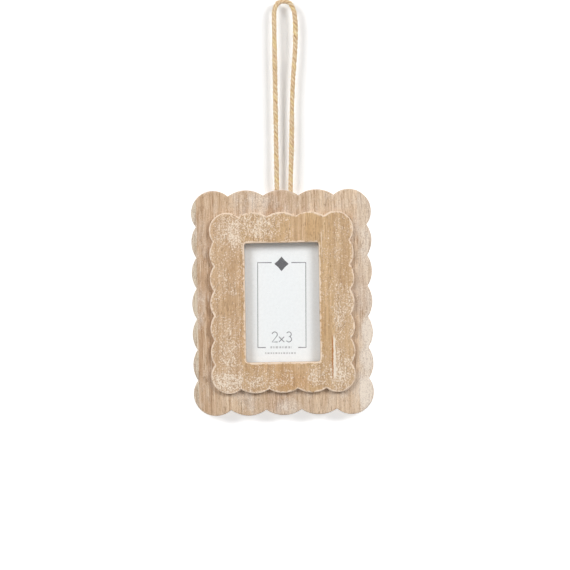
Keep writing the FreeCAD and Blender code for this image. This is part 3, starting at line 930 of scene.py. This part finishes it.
FRONT_FINISH = {
    "strips": (
        (-55.0, linear(206, 173, 136), 0.51),
        (-23.6, linear(207, 173, 131), 0.5),
        (5.3, linear(212, 179, 140), 0.2),
        (13.5, linear(212, 179, 136), 0.28),
        (21.8, linear(210, 177, 135), 0.42),
        (28.9, linear(209, 177, 138), 0.52),
    ),
    "patches": (
        (-26.4, 40.0, 5.0, 12.0, 0.36, *FRONT_FIRST_STRIP),
        (-34.0, 40.0, 8.0, 9.0, 0.2, *FRONT_FIRST_STRIP),
        (-10.0, 42.0, 14.0, 10.0, 0.4, *FRONT_SECOND_STRIP),
        (-30.0, -30.0, 8.0, 12.0, 0.4, *FRONT_FIRST_STRIP),
        (-31.0, -44.0, 12.0, 8.0, 0.6, *FRONT_FIRST_STRIP),
        (19.0, -41.0, 8.0, 9.0, 0.42, 12.0, 28.9),
        (-12.0, -45.0, 14.0, 5.0, 0.2, -23.6, 21.8),
        (6.0, -43.5, 15.0, 8.0, 0.3, -23.6, 21.8),
        (31.0, -8.0, 6.0, 16.0, 0.3, 22.0, 60.0),
        (31.0, -38.0, 8.0, 12.0, 0.35, 22.0, 60.0),
        (16.0, 43.0, 9.0, 9.0, -0.6),
        (-30.0, 0.0, 8.0, 8.0, -0.35, *FRONT_FIRST_STRIP),
        (-28.0, 20.0, 6.0, 8.0, -0.2, *FRONT_FIRST_STRIP),
    ),
    "stains": (
        (-21.5, 12.0, 5.0, 14.0, 0.4),
        (-22.5, -22.0, 4.0, 16.0, 0.35),
        (20.0, -14.0, 4.0, 22.0, 0.45),
        # These two are painted shade: the front board's lower part made darker, as less lit there
        (-6.0, -36.0, 18.0, 4.0, 0.35),
        (4.0, -44.0, 20.0, 8.0, 0.5),
        (17.0, 42.0, 6.0, 8.0, 0.2),
    ),
    "scratches": (
        (27.8, -45.0, -17.0, 0.45, linear(176, 116, 66)),
        (28.9, -45.5, -16.5, 0.85, linear(244, 230, 212)),
        (22.6, 24.0, 42.0, 0.3, linear(232, 210, 182)),
    ),
    # Colour of the stains and of the painted shade
    "stain": linear(200, 152, 100),
    "dark_grain": 0.5,
    "mottle": 0.8,
    "pale_grain": 0.3,
    "film": 0.3,
    "film_colour": linear(232, 212, 194),
    "speck": 0.85,
    "rim": linear(247, 226, 204),
    "rim_width": 1.0,
    "rim_strength": 0.85,
}


class OrnamentOperator:
    """What the operators share."""

    bl_options = {"REGISTER", "UNDO"}

    @property
    def settings(self):
        return bpy.context.scene.ornament


class ORNAMENT_OT_stage(OrnamentOperator, bpy.types.Operator):
    """Set up the camera, the lamps, and a white wall and floor"""

    bl_idname = "ornament.stage"
    bl_label = "Stage"

    def execute(self, context):
        stage = self.settings.stage
        add_camera(stage)
        add_lamps(stage)
        add_backdrop(stage)
        return {"FINISHED"}


# The camera looks level at this point of the back board's front
VIEW_CENTRE = Vector((-2.64, -4.5, -159.2)) * MM


def add_camera(stage):
    """A level camera straight in front of the boards."""
    data = bpy.data.cameras.new("camera")
    data.sensor_width = 36.0
    data.lens = data.sensor_width * stage.camera_distance / stage.view_width
    data.clip_start = 0.01
    camera = bpy.data.objects.new("camera", data)
    place = VIEW_CENTRE - Vector((0.0, stage.camera_distance, 0.0))
    level = Matrix.Rotation(QUARTER, 4, "X")
    camera.matrix_world = Matrix.Translation(place) @ level @ Matrix.Rotation(stage.camera_roll, 4, "Z")
    bpy.context.scene.collection.objects.link(camera)
    bpy.context.scene.camera = camera


LAMP_DISTANCE = 1.5
LAMP_SIZE = 0.56


def add_lamp(name, way, power):
    """A square soft lamp in a direction from the boards' middle, turned towards them."""
    data = bpy.data.lights.new(name, "AREA")
    data.shape = "SQUARE"
    data.size = LAMP_SIZE
    data.energy = power
    lamp = bpy.data.objects.new(name, data)
    way = Vector(way).normalized()
    lamp.location = PLATES_MIDDLE + way * LAMP_DISTANCE
    lamp.rotation_euler = way.to_track_quat("Z", "Y").to_euler()
    lamp.visible_camera = False
    bpy.context.scene.collection.objects.link(lamp)


def seen(nodes):
    """1 where the camera sees this directly, mirrored or through something clear, and otherwise 0."""
    path = nodes.add("ShaderNodeLightPath")
    sharp = nodes.math("MAXIMUM", path["Is Camera Ray"], path["Is Glossy Ray"])
    return nodes.math("MAXIMUM", sharp, path["Is Transmission Ray"])


def add_lamps(stage):
    """A soft lamp high on each side in front, a weaker one on each side behind, and even fill."""
    for side, sign in (("left", -1), ("right", 1)):
        add_lamp(f"key_{side}", (sign * 0.82, -1.0, 0.56), stage.key_power)
        add_lamp(f"back_{side}", (sign * 0.6, 1.0, 0.35), stage.back_power)
    world = bpy.data.worlds.new("studio")
    world.use_nodes = True
    bpy.context.scene.world = world
    nodes = Nodes(world.node_tree)
    strength = stage.fill + seen(nodes) * (1.0 - stage.fill)
    nodes.found("BACKGROUND").give({"Strength": strength, "Color": (1.0, 1.0, 1.0, 1.0)})


BACKDROP_WHITE = (0.93, 0.93, 0.93, 1.0)


def backdrop_material(name, low_glow, high_glow):
    """White that shows from its front only and lets the lamps behind it through. It glows a little, with
    its own strength beside and above the boards, and more far out, where the lamps don't reach."""
    material = bpy.data.materials.new(name)
    material.use_nodes = True
    nodes = Nodes(material.node_tree)
    nodes.tree.nodes.clear()
    facing = 1 - nodes.add("ShaderNodeNewGeometry")["Backfacing"]
    paint = nodes.add("ShaderNodeBsdfDiffuse", {"Color": BACKDROP_WHITE})["BSDF"]
    place = nodes.add("ShaderNodeTexCoord")["Object"]
    near = nodes.ramp(place.z, BACK_HIGH.z - 8 * MM, BACK_HIGH.z + 2 * MM, low_glow, high_glow)
    away = nodes.math("LENGTH", place - nodes.vector(*PLATES_MIDDLE))
    strength = nodes.math("MAXIMUM", near, nodes.ramp(away, 0.25, 0.6))
    glow = nodes.add("ShaderNodeEmission", {"Strength": strength})["Emission"]
    white = nodes.add("ShaderNodeAddShader", {0: paint, 1: glow})["Shader"]
    clear = nodes.add("ShaderNodeBsdfTransparent")["BSDF"]
    mixed = nodes.add("ShaderNodeMixShader", {0: seen(nodes) * facing, 1: clear, 2: white})["Shader"]
    nodes.add("ShaderNodeOutputMaterial", {"Surface": mixed})
    return material


# The backdrop's reach to each side and to the front, its foot and its top
BACKDROP_REACH, FLOOR_Z, WALL_TOP = 2.5, -0.42, 2.2
# Strength of the glow beside the boards and above them. A weak glow lets the twine's shadow show.
WALL_GLOW = (0.5, 0.13)
FLOOR_GLOW = (0.66, 0.66)


def add_backdrop(stage):
    """The wall close behind the back board, and a floor well below."""
    wall_y = BACK_HIGH.y + stage.wall_gap
    front, back, top = (
        ((-BACKDROP_REACH, y, z), (BACKDROP_REACH, y, z))
        for y, z in ((-BACKDROP_REACH, FLOOR_Z), (wall_y, FLOOR_Z), (wall_y, WALL_TOP))
    )
    planes = (
        ("wall", (*back, *reversed(top)), backdrop_material("wall_white", *WALL_GLOW)),
        ("floor", (*front, *reversed(back)), backdrop_material("floor_white", *FLOOR_GLOW)),
    )
    for name, corners, white in planes:
        mesh = bpy.data.meshes.new(name)
        mesh.from_pydata(corners, [], [(0, 1, 2, 3)])
        mesh.materials.append(white)
        new_piece(name, mesh)


# The twine's route, in millimetres, x and z, all in the middle of the back board: up from the left
# hole, over at the top and down to the right hole. The second point is on the long straight stretch.
TWINE_ROUTE = (
    (-6.35, -115.5),
    (-6.35, -15.4),
    (-6.35, 1.4),
    (4.9, 1.4),
    (6.1, -18.0),
    (3.1, -50.0),
    (2.5, -80.0),
    (1.35, -101.5),
    (1.35, -115.5),
)
LEFT_HOLE_X = TWINE_ROUTE[0][0] * MM
RIGHT_HOLE_X = TWINE_ROUTE[-1][0] * MM


def route_line():
    """The smooth line through the route, as a mesh of its points."""
    curve = bpy.data.curves.new("twine_route", "CURVE")
    curve.dimensions = "3D"
    spline = curve.splines.new("NURBS")
    spline.points.add(len(TWINE_ROUTE) - 1)
    for point, (x, z) in zip(spline.points, TWINE_ROUTE):
        point.co = (x * MM, 0.0, z * MM, 1.0)
    spline.order_u = 3
    spline.use_endpoint_u = True
    spline.resolution_u = 24
    guide = bpy.data.objects.new("twine_route", curve)
    line = bpy.data.meshes.new_from_object(guide)
    bpy.data.objects.remove(guide)
    return line


# A ply's radius as a share of the twine's, and the height of its ridges as a share of its own
PLY_SHARE = 0.485
RIDGE_SHARE = 0.07


def twisted_twine_tree():
    """Plies twisted round a line, each a ridged yarn, with their places along and round stored."""
    others = {"Plies": "whole", "Fibre Ridges": "whole", "Step": "length"}
    nodes, given, leave = new_geometry_tree("twisted twine", ("Diameter", "Turn Length"), others)
    radius = given["Diameter"] / 2
    ply_radius = radius * PLY_SHARE
    line = nodes.add("GeometryNodeMeshToCurve", {"Mesh": given["Geometry"]})["Curve"]
    line = evenly_spaced(nodes, line, given["Step"])
    line = store(nodes, line, "along", nodes.add("GeometryNodeSplineParameter")["Length"])
    line = store(nodes, line, "middle", nodes.position())
    line = store(nodes, line, "tangent", nodes.add("GeometryNodeInputTangent")["Tangent"])
    inputs = {"Geometry": line, "Amount": given["Plies"]}
    copies = nodes.add("GeometryNodeDuplicateElements", inputs, domain="SPLINE")
    line = store(nodes, copies["Geometry"], "ply", copies["Duplicate Index"])
    along, ply = stored(nodes, "along"), stored(nodes, "ply")
    sag = nodes.noise((along * 60.0, ply * 7.0, 0.0), 1.0, 2.0)
    turn = along / given["Turn Length"] * math.tau + ply / given["Plies"] * math.tau + (sag - 0.5) * 1.3
    front = nodes.vector(0.0, 1.0, 0.0)
    side = nodes.math("CROSS_PRODUCT", stored_vector(nodes, "tangent"), front)
    slub = nodes.ramp(nodes.noise((along * 32.0, 9.0, 4.0), 1.0, 1.0), 0.34, 0.64, 0.86, 1.12)
    size = nodes.ramp(nodes.noise((along * 190.0, ply * 3.0, 5.0), 1.0, 2.0), 0.3, 0.7, 0.8, 1.18) * slub
    spread = nodes.ramp(nodes.noise((along * 45.0, 3.0, 1.0), 1.0, 2.0), 0.3, 0.7, 0.88, 1.1) * slub
    away = (side * nodes.cosine(turn) + front * nodes.sine(turn)) * ((radius - ply_radius) * spread)
    line = shifted(nodes, line, away)
    inputs = {"Curve": line, "Tilt": along / given["Turn Length"] * -9.0}
    line = with_radius(nodes, nodes.add("GeometryNodeSetCurveTilt", inputs)["Curve"], size)
    place = nodes.position()
    angle = nodes.math("ARCTAN2", place.y, place.x)
    ridge = 1 + nodes.cosine(angle * given["Fibre Ridges"]) * RIDGE_SHARE
    section = store(nodes, ring(nodes, 18, ply_radius), "around", nodes.math("NORMALIZE", place))
    yarn = swept(nodes, line, put_at(nodes, section, place * ridge))
    proud = nodes.math("LENGTH", nodes.position() - stored_vector(nodes, "middle")) / radius
    return end_geometry_tree(nodes, given, leave, store(nodes, yarn, "proud", proud))


def loose_fibre(nodes, bend_radius, bend, thickness):
    """One bent fibre that starts at the origin and leaves along Z, thinner towards its end."""
    taper = nodes.ramp(nodes.add("GeometryNodeSplineParameter")["Factor"], 0.0, 1.0, 1.0, 0.35)
    line = with_radius(nodes, arc(nodes, 5, bend_radius, 0.0, bend), taper)
    fibre = swept(nodes, line, ring(nodes, 3, thickness / 2))
    return moved(nodes, moved(nodes, fibre, (-bend_radius, 0.0, 0.0)), turn=(QUARTER, 0.0, 0.0))


# The kinds of loose fibre, each the radius of its bend in mm and how far round it goes
FIBRE_BENDS = ((1.6, 1.1), (2.6, 0.9), (1.0, 2.2), (3.6, 0.5))


def loose_fibres_tree():
    """Short fibres that stand out of the twine here and there."""
    others = {"Density": "number", "Thickness": "length", "Seed": "whole"}
    nodes, given, leave = new_geometry_tree("loose fibres", (), others)

    def chance(step, low, high, kind):
        inputs = {"Min": low, "Max": high, "Seed": given["Seed"] + step}
        return nodes.add("FunctionNodeRandomValue", inputs, data_type=kind)["Value"]

    inputs = {"Mesh": given["Geometry"], "Density": given["Density"], "Seed": given["Seed"]}
    spread = nodes.add("GeometryNodeDistributePointsOnFaces", inputs, distribute_method="RANDOM")
    kinds = [loose_fibre(nodes, radius * MM, bend, given["Thickness"]) for radius, bend in FIBRE_BENDS]
    kinds = nodes.add("GeometryNodeGeometryToInstance", {"Geometry": kinds})["Instances"]
    way = chance(1, (-1.0, -1.0, -1.0), (1.0, 1.0, 1.0), "FLOAT_VECTOR")
    lean = nodes.math("NORMALIZE", spread["Normal"] * 0.55 + way * 0.9)
    inputs = {
        "Points": spread["Points"],
        "Instance": kinds,
        "Pick Instance": True,
        "Instance Index": chance(3, 0, len(FIBRE_BENDS) - 1, "INT"),
        "Rotation": nodes.add("FunctionNodeAlignRotationToVector", {"Vector": lean}, axis="Z")["Rotation"],
        "Scale": chance(2, 0.35, 1.15, "FLOAT"),
    }
    placed = nodes.add("GeometryNodeInstanceOnPoints", inputs)["Instances"]
    return end_geometry_tree(nodes, given, leave, placed)


def jute_material(twine):
    """Jute: pale fibres that follow each ply, with painted shade between the plies."""
    material, nodes, shader = new_material("jute", roughness=0.85, specular_ior_level=0.2, sheen_weight=0.25)
    around = nodes.attribute("around", "Vector")
    along = nodes.attribute("along") / MM
    proud, ply = nodes.attribute("proud"), nodes.attribute("ply")
    strands = nodes.noise((around.x * 3.6 + ply * 9.0, around.y * 3.6, along * 0.16), 1.0, 3.0, 0.65)
    patches = nodes.noise((ply * 5.0, around.y * 0.5, along * 0.22), 1.0, 2.0)
    lots = nodes.noise((ply * 3.0, 8.0, along * 0.09), 1.0, 1.0)
    colour = nodes.layered(
        nodes.between(nodes.ramp(strands, 0.34, 0.62), linear(212, 174, 124), twine.straw),
        (nodes.ramp(patches, 0.42, 0.68, 0.0, 0.5), linear(220, 180, 132)),
        (nodes.ramp(lots, 0.5, 0.62, 0.0, 0.55), linear(240, 214, 150)),
        (nodes.ramp(lots, 0.5, 0.38, 0.0, 0.45), linear(238, 206, 172)),
        # Painted shade in the grooves between the plies, where the surface lies nearest the twine's middle
        (nodes.ramp(proud, 0.88, 0.62, 0.0, 0.85), twine.shade),
    )
    shader.give({"Base Color": colour, "Normal": bump(nodes, strands, 0.14)})
    return material


def loose_fibre_material(twine):
    """Loose fibres of the jute, paler in places."""
    material, nodes, shader = new_material("jute_fibre", roughness=0.8, specular_ior_level=0.2)
    tone = nodes.ramp(nodes.noise(in_millimetres(nodes, Vector()), 0.9, 1.0), 0.35, 0.65)
    shader.give({"Base Color": nodes.between(tone, linear(226, 200, 156), twine.straw)})
    return material


TWINE_STEP = 0.36 * MM
FIBRE_THICKNESS = 0.075 * MM
FIBRE_SEED = 11


class ORNAMENT_OT_twine(OrnamentOperator, bpy.types.Operator):
    """Lay the loop of twine along its route, with its plies and loose fibres"""

    bl_idname = "ornament.twine"
    bl_label = "Twine Loop"

    def execute(self, context):
        twine = self.settings.twine
        line = route_line()
        path = [vertex.co.copy() for vertex in line.vertices]
        cord = run_tree(
            new_piece("twine_plies", line),
            twisted_twine_tree(),
            {
                "Diameter": twine.diameter, "Turn Length": twine.turn_length, "Plies": twine.plies,
                "Fibre Ridges": twine.fibre_ridges, "Step": TWINE_STEP, "Material": jute_material(twine),
            },
        )
        tidy_mesh(cord, math.radians(80))
        fuzz = run_tree(
            new_piece("twine_loose_fibres", cord.data.copy()),
            loose_fibres_tree(),
            {
                "Density": twine.loose_fibres, "Thickness": FIBRE_THICKNESS, "Seed": FIBRE_SEED,
                "Material": loose_fibre_material(twine),
            },
        )
        fuzz.data.shade_smooth()
        for piece in (cord, fuzz):
            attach(piece, BODY)
        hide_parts("twine_loop")
        BACK_HIGH.z
        twine.loop_length
        twine.diameter
        return {"FINISHED"}


def board_values(boards, low, high, side):
    """The tree's inputs that both boards share."""
    values = {
        "Width": high.x - low.x,
        "Height": high.z - low.z,
        "Thickness": high.y - low.y,
        "Middle X": PLATES_MIDDLE.x,
        "Front Y": low.y,
        "Middle Z": PLATES_MIDDLE.z,
    }
    for name in ("Corner", "Notch Across", "Notch Down"):
        values[name] = getattr(boards, f"{side}_{name}".lower().replace(" ", "_"))
    for name in (
        "Scallops Across", "Scallops Down", "Arc Points", "Edge Round", "Unevenness", "Window Corner",
        "Rebate Corner", "Lip Thickness",
    ):
        values[name] = getattr(boards, name.lower().replace(" ", "_"))
    for name, margin in (("Window", -boards.lip_overlap), ("Rebate", boards.rebate_gap)):
        values[f"{name} Width"] = CARD_HIGH.x - CARD_LOW.x + 2 * margin
        values[f"{name} Height"] = CARD_HIGH.z - CARD_LOW.z + 2 * margin
    return values


class ORNAMENT_OT_boards(OrnamentOperator, bpy.types.Operator):
    """Cut the two scalloped boards and finish them in rubbed limewash"""

    bl_idname = "ornament.boards"
    bl_label = "Boards"

    def execute(self, context):
        boards = self.settings.boards
        tree = scalloped_board_tree()
        back = {
            **board_values(boards, BACK_LOW, BACK_HIGH, "back"),
            "Rebate": True,
            "Seed": 0.37,
            "Window Round": 0.05 * MM,
            "Material": wood_material("back_wood", boards, BACK_FINISH),
        }
        front = {
            **board_values(boards, FRONT_LOW, FRONT_HIGH, "front"),
            "Window Round": boards.edge_round,
            "Seed": 1.9,
            "Material": wood_material("front_wood", boards, FRONT_FINISH),
        }
        holes = {
            "Hole Diameter": boards.hole_diameter,
            "Hole Depth": boards.hole_depth,
            "Left Hole": LEFT_HOLE_X,
            "Right Hole": RIGHT_HOLE_X,
            "Hole Top": BACK_HIGH.z,
            "Material": back["Material"],
        }
        for name, values, node, slot in (
            ("back_board", back, "back_plate", "back_wood"),
            ("front_board", front, "front_plate", "front_wood"),
        ):
            board = run_tree(new_piece(name), tree, values)
            tidy_mesh(board)
            if values is back:
                tidy_mesh(run_tree(board, drilled_holes_tree(), holes))
            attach(board, BODY)
            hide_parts(node)
        return {"FINISHED"}


def finish_node(node, material):
    """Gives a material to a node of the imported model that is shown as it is."""
    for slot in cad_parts[node].material_slots:
        slot.material = material


def ink_stroke_tree():
    """Thin printed lines: each edge of the piece becomes a flat stroke of one width."""
    nodes, given, leave = new_geometry_tree("ink strokes", ("Width", "Thickness"))
    line = nodes.add("GeometryNodeMeshToCurve", {"Mesh": given["Geometry"]})["Curve"]
    line = nodes.add("GeometryNodeSetCurveNormal", {"Curve": line}, mode="Z_UP")["Curve"]
    stroke = swept(nodes, line, rectangle(nodes, given["Width"], given["Thickness"]))
    return end_geometry_tree(nodes, given, leave, moved(nodes, stroke, turn=(QUARTER, 0.0, 0.0)))


def arc_points(x, z, radius, first, last, steps=10):
    """Points of an arc in the card's plane, angles in degrees."""
    angles = [math.radians(first + (last - first) * step / steps) for step in range(steps + 1)]
    return [(x + radius * math.cos(angle), z + radius * math.sin(angle)) for angle in angles]


# The print, in millimetres from the middle of the boards
BORDER_LEFT, BORDER_RIGHT, BORDER_BOTTOM, BORDER_TOP = -13.9, 13.3, -25.5, 22.5
TOP_GAP = (-6.0, 5.2)
BOTTOM_STUB = 4.4
MARK_PLACE = (-0.4, 21.8)
MARK_REACH = (4.05, 4.15)
MARK_WAIST = 2.6875
DIGITS_FOOT, DIGITS_HEIGHT = -22.4, 5.7
TWO_X, CROSS_X, THREE_X = -4.4, -0.5, 3.6
# Rows of dashes: left end, right end, z, the dashes' lengths in turn, the gap between them
LARGE_ROW = (-6.9, 5.2, -25.4, (1.1, 0.7, 1.5), 0.6)
SMALL_ROW = (-9.8, 7.9, -28.7, (0.7, 1.2, 0.9), 0.55)
LARGE_ROW_WIDTH, SMALL_ROW_WIDTH = 1.15 * MM, 0.9 * MM


def border_strokes():
    """The two halves of the border, open at the top for the mark and at the bottom for the dashes."""
    return [
        [(gap, BORDER_TOP), (side, BORDER_TOP), (side, BORDER_BOTTOM), (side + stub, BORDER_BOTTOM)]
        for gap, side, stub in zip(TOP_GAP, (BORDER_LEFT, BORDER_RIGHT), (BOTTOM_STUB, -BOTTOM_STUB))
    ]


def digit_strokes():
    """A 2, a small x and a 3, drawn with plain arcs and straight lines."""
    foot, height = DIGITS_FOOT, DIGITS_HEIGHT
    bowl = arm = height * 0.26
    two = arc_points(TWO_X, foot + height - bowl, bowl, 165, -35)
    two += [(TWO_X - bowl, foot), (TWO_X + bowl * 1.1, foot)]
    top = arc_points(THREE_X, foot + height - bowl * 0.92, bowl * 0.92, 150, -90)
    low = arc_points(THREE_X, foot + bowl * 1.03, bowl * 1.03, 90, -150)
    cross_z = foot + arm
    cross = [[(CROSS_X - arm, cross_z - rise), (CROSS_X + arm, cross_z + rise)] for rise in (arm, -arm)]
    return [two, top + low[1:], *cross]


def dashed_row(left, right, z, lengths, gap):
    """A row of plain dashes between two ends, their lengths taken in turn."""
    strokes, x = [], left
    while x < right:
        end = min(x + lengths[len(strokes) % len(lengths)], right)
        strokes.append([(x, z), (end, z)])
        x = end + gap
    return strokes


def stroke_mesh(name, strokes):
    """The strokes as open lines, in metres, in a plane of their own."""
    mesh = bpy.data.meshes.new(name)
    points, edges = [], []
    for stroke in strokes:
        first = len(points)
        points += [(x * MM, z * MM, 0.0) for x, z in stroke]
        edges += [(place, place + 1) for place in range(first, len(points) - 1)]
    mesh.from_pydata(points, edges, [])
    return mesh


def place_print(piece, card):
    """Turns a print, moves it from its own plane onto the card's face and lets it ride."""
    spot = Vector((PLATES_MIDDLE.x, CARD_LOW.y - card.ink_thickness / 2, PLATES_MIDDLE.z))
    piece.data.transform(Matrix.Translation(spot) @ Matrix.Rotation(card.turn, 4, "Y"))
    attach(piece, BODY)


def ink_material(name, colour):
    """Printing ink that is paler in places."""
    material, nodes, shader = new_material(name, roughness=0.7, specular_ior_level=0.3)
    tone = nodes.noise(in_millimetres(nodes, CARD_MIDDLE), 2.2, 2.0)
    faded = tuple(min(1.0, part * 1.25) for part in colour)
    shader.give({"Base Color": nodes.between(nodes.ramp(tone, 0.35, 0.7), colour, faded)})
    return material


def mark_mesh(thickness):
    """The plain mark at the top of the card: a lozenge with hollow sides."""
    corners = []
    for turn in range(8):
        angle = math.radians(45 * turn)
        reach_x, reach_z = (MARK_WAIST, MARK_WAIST) if turn % 2 else MARK_REACH
        x = MARK_PLACE[0] + reach_x * math.cos(angle)
        z = MARK_PLACE[1] + reach_z * math.sin(angle)
        corners.append((x * MM, -thickness / 2, z * MM))
    mesh = bmesh.new()
    face = mesh.faces.new([mesh.verts.new(corner) for corner in corners])
    extruded = bmesh.ops.extrude_face_region(mesh, geom=[face])["geom"]
    for vert in (item for item in extruded if isinstance(item, bmesh.types.BMVert)):
        vert.co.y += thickness
    bmesh.ops.recalc_face_normals(mesh, faces=mesh.faces)
    data = bpy.data.meshes.new("card_mark")
    mesh.to_mesh(data)
    mesh.free()
    return data


def paper_material(card):
    """White card with faint pressed fibres."""
    material, nodes, shader = new_material("card_paper", roughness=0.55, specular_ior_level=0.35)
    pressed = nodes.group(mottle_group, {"Position": in_millimetres(nodes, CARD_MIDDLE) * 3.0})
    shade = tuple(part * 0.965 for part in card.paper)
    colour = nodes.between(nodes.ramp(pressed["Blotches"], 0.35, 0.65), shade, card.paper)
    shader.give({"Base Color": colour, "Normal": bump(nodes, pressed["Height"], 0.01, 0.4)})
    return material


def pane_material():
    """Clear acrylic with a trace of dust. Its glare is the shader's own."""
    material, nodes, shader = new_material(
        "clear_acrylic", roughness=0.04, ior=1.49, specular_ior_level=0.5, base_color=(0.96, 0.975, 0.98, 1.0)
    )
    dust = nodes.ramp(nodes.noise(in_millimetres(nodes, CARD_MIDDLE), 1.6, 3.0, 0.7), 0.55, 0.8)
    shader.give({"Alpha": 0.05 + dust * 0.03, "Roughness": 0.03 + dust * 0.15})
    return material


class ORNAMENT_OT_card(OrnamentOperator, bpy.types.Operator):
    """Print the card and clear the pane in front of it"""

    bl_idname = "ornament.card"
    bl_label = "Card and Pane"

    def execute(self, context):
        card = self.settings.card
        finish_node("insert_card", paper_material(card))
        finish_node("clear_pane", pane_material())
        grey = ink_material("grey_ink", card.line_ink)
        light_grey = ink_material("light_grey_ink", card.small_ink)
        tree = ink_stroke_tree()
        prints = (
            ("card_border", border_strokes(), card.line_width, grey),
            ("card_digits", digit_strokes(), card.digit_width, grey),
            ("card_dashes", dashed_row(*LARGE_ROW), LARGE_ROW_WIDTH, light_grey),
            ("card_small_dashes", dashed_row(*SMALL_ROW), SMALL_ROW_WIDTH, light_grey),
        )
        for name, strokes, width, ink in prints:
            piece = new_piece(name, stroke_mesh(name, strokes))
            run_tree(piece, tree, {"Width": width, "Thickness": card.ink_thickness, "Material": ink})
            tidy_mesh(piece)
            place_print(piece, card)
        mark = new_piece("card_mark", mark_mesh(card.ink_thickness))
        mark.data.materials.append(ink_material("dark_ink", card.mark_ink))
        place_print(mark, card)
        return {"FINISHED"}


def hardboard_material():
    """Brown pressed board, rough side out."""
    material, nodes, shader = new_material("hardboard", roughness=0.8, specular_ior_level=0.25)
    position = in_millimetres(nodes, CARD_MIDDLE)
    pressed = nodes.group(mottle_group, {"Position": position * 2.6})
    clouds = pressed["Blotches"] + nodes.noise(position, 0.05, 2.0) * 0.4
    colour = nodes.layered(
        nodes.between(nodes.ramp(clouds, 0.45, 0.95), linear(146, 110, 76), linear(170, 132, 94)),
        (pressed["Hairs"] * 0.5, linear(198, 164, 124)),
    )
    shader.give({"Base Color": colour, "Normal": bump(nodes, pressed["Height"], 0.15, 0.8)})
    return material


def tab_material():
    """Zinc plated spring steel with fine lines from the rolls."""
    material, nodes, shader = new_material("zinc_steel", metallic=1.0, roughness=0.35)
    position = in_millimetres(nodes, CARD_MIDDLE)
    lines = nodes.noise((position.x * 0.6, position.y, position.z * 14.0), 1.0, 3.0, 0.7)
    spots = nodes.ramp(nodes.noise(position, 0.9, 3.0), 0.35, 0.7)
    shader.give({
        "Base Color": nodes.between(spots, linear(150, 151, 150), linear(184, 185, 183)),
        "Roughness": 0.28 + lines * 0.22,
        "Normal": bump(nodes, lines, 0.01, 0.5),
    })
    return material


class ORNAMENT_OT_backing(OrnamentOperator, bpy.types.Operator):
    """Finish the backing board and the four tabs that hold it"""

    bl_idname = "ornament.backing"
    bl_label = "Backing"

    def execute(self, context):
        finish_node("backing_board", hardboard_material())
        steel = tab_material()
        for side in ("top", "right", "bottom", "left"):
            finish_node(f"backing_tab_{side}", steel)
        return {"FINISHED"}


class ORNAMENT_PT_panel(bpy.types.Panel):
    """The ornament's settings and the operators that build it"""

    bl_label = "Picture Frame Ornament"
    bl_idname = "ORNAMENT_PT_panel"
    bl_space_type = "VIEW_3D"
    bl_region_type = "UI"
    bl_category = "Ornament"

    def draw(self, context):
        settings = context.scene.ornament
        for group, operators in (
            (settings.stage, ["ornament.stage"]),
            (settings.twine, ["ornament.twine"]),
            (settings.boards, ["ornament.boards"]),
            (settings.card, ["ornament.card", "ornament.backing"]),
        ):
            box = self.layout.box()
            for name in group.__annotations__:
                box.prop(group, name)
            for operator in operators:
                box.operator(operator)


CLASSES = (
    ORNAMENT_PG_boards,
    ORNAMENT_PG_twine,
    ORNAMENT_PG_card,
    ORNAMENT_PG_stage,
    ORNAMENT_PG_settings,
    ORNAMENT_OT_stage,
    ORNAMENT_OT_twine,
    ORNAMENT_OT_boards,
    ORNAMENT_OT_card,
    ORNAMENT_OT_backing,
    ORNAMENT_PT_panel,
)


def register():
    for item in CLASSES:
        bpy.utils.register_class(item)
    bpy.types.Scene.ornament = PointerProperty(type=ORNAMENT_PG_settings)


def unregister():
    del bpy.types.Scene.ornament
    for item in reversed(CLASSES):
        bpy.utils.unregister_class(item)


def main():
    register()
    bpy.context.scene.view_settings.view_transform = "Standard"
    bpy.ops.ornament.stage()
    bpy.ops.ornament.twine()
    bpy.ops.ornament.boards()
    bpy.ops.ornament.card()
    bpy.ops.ornament.backing()


if __name__ == "__main__":
    main()
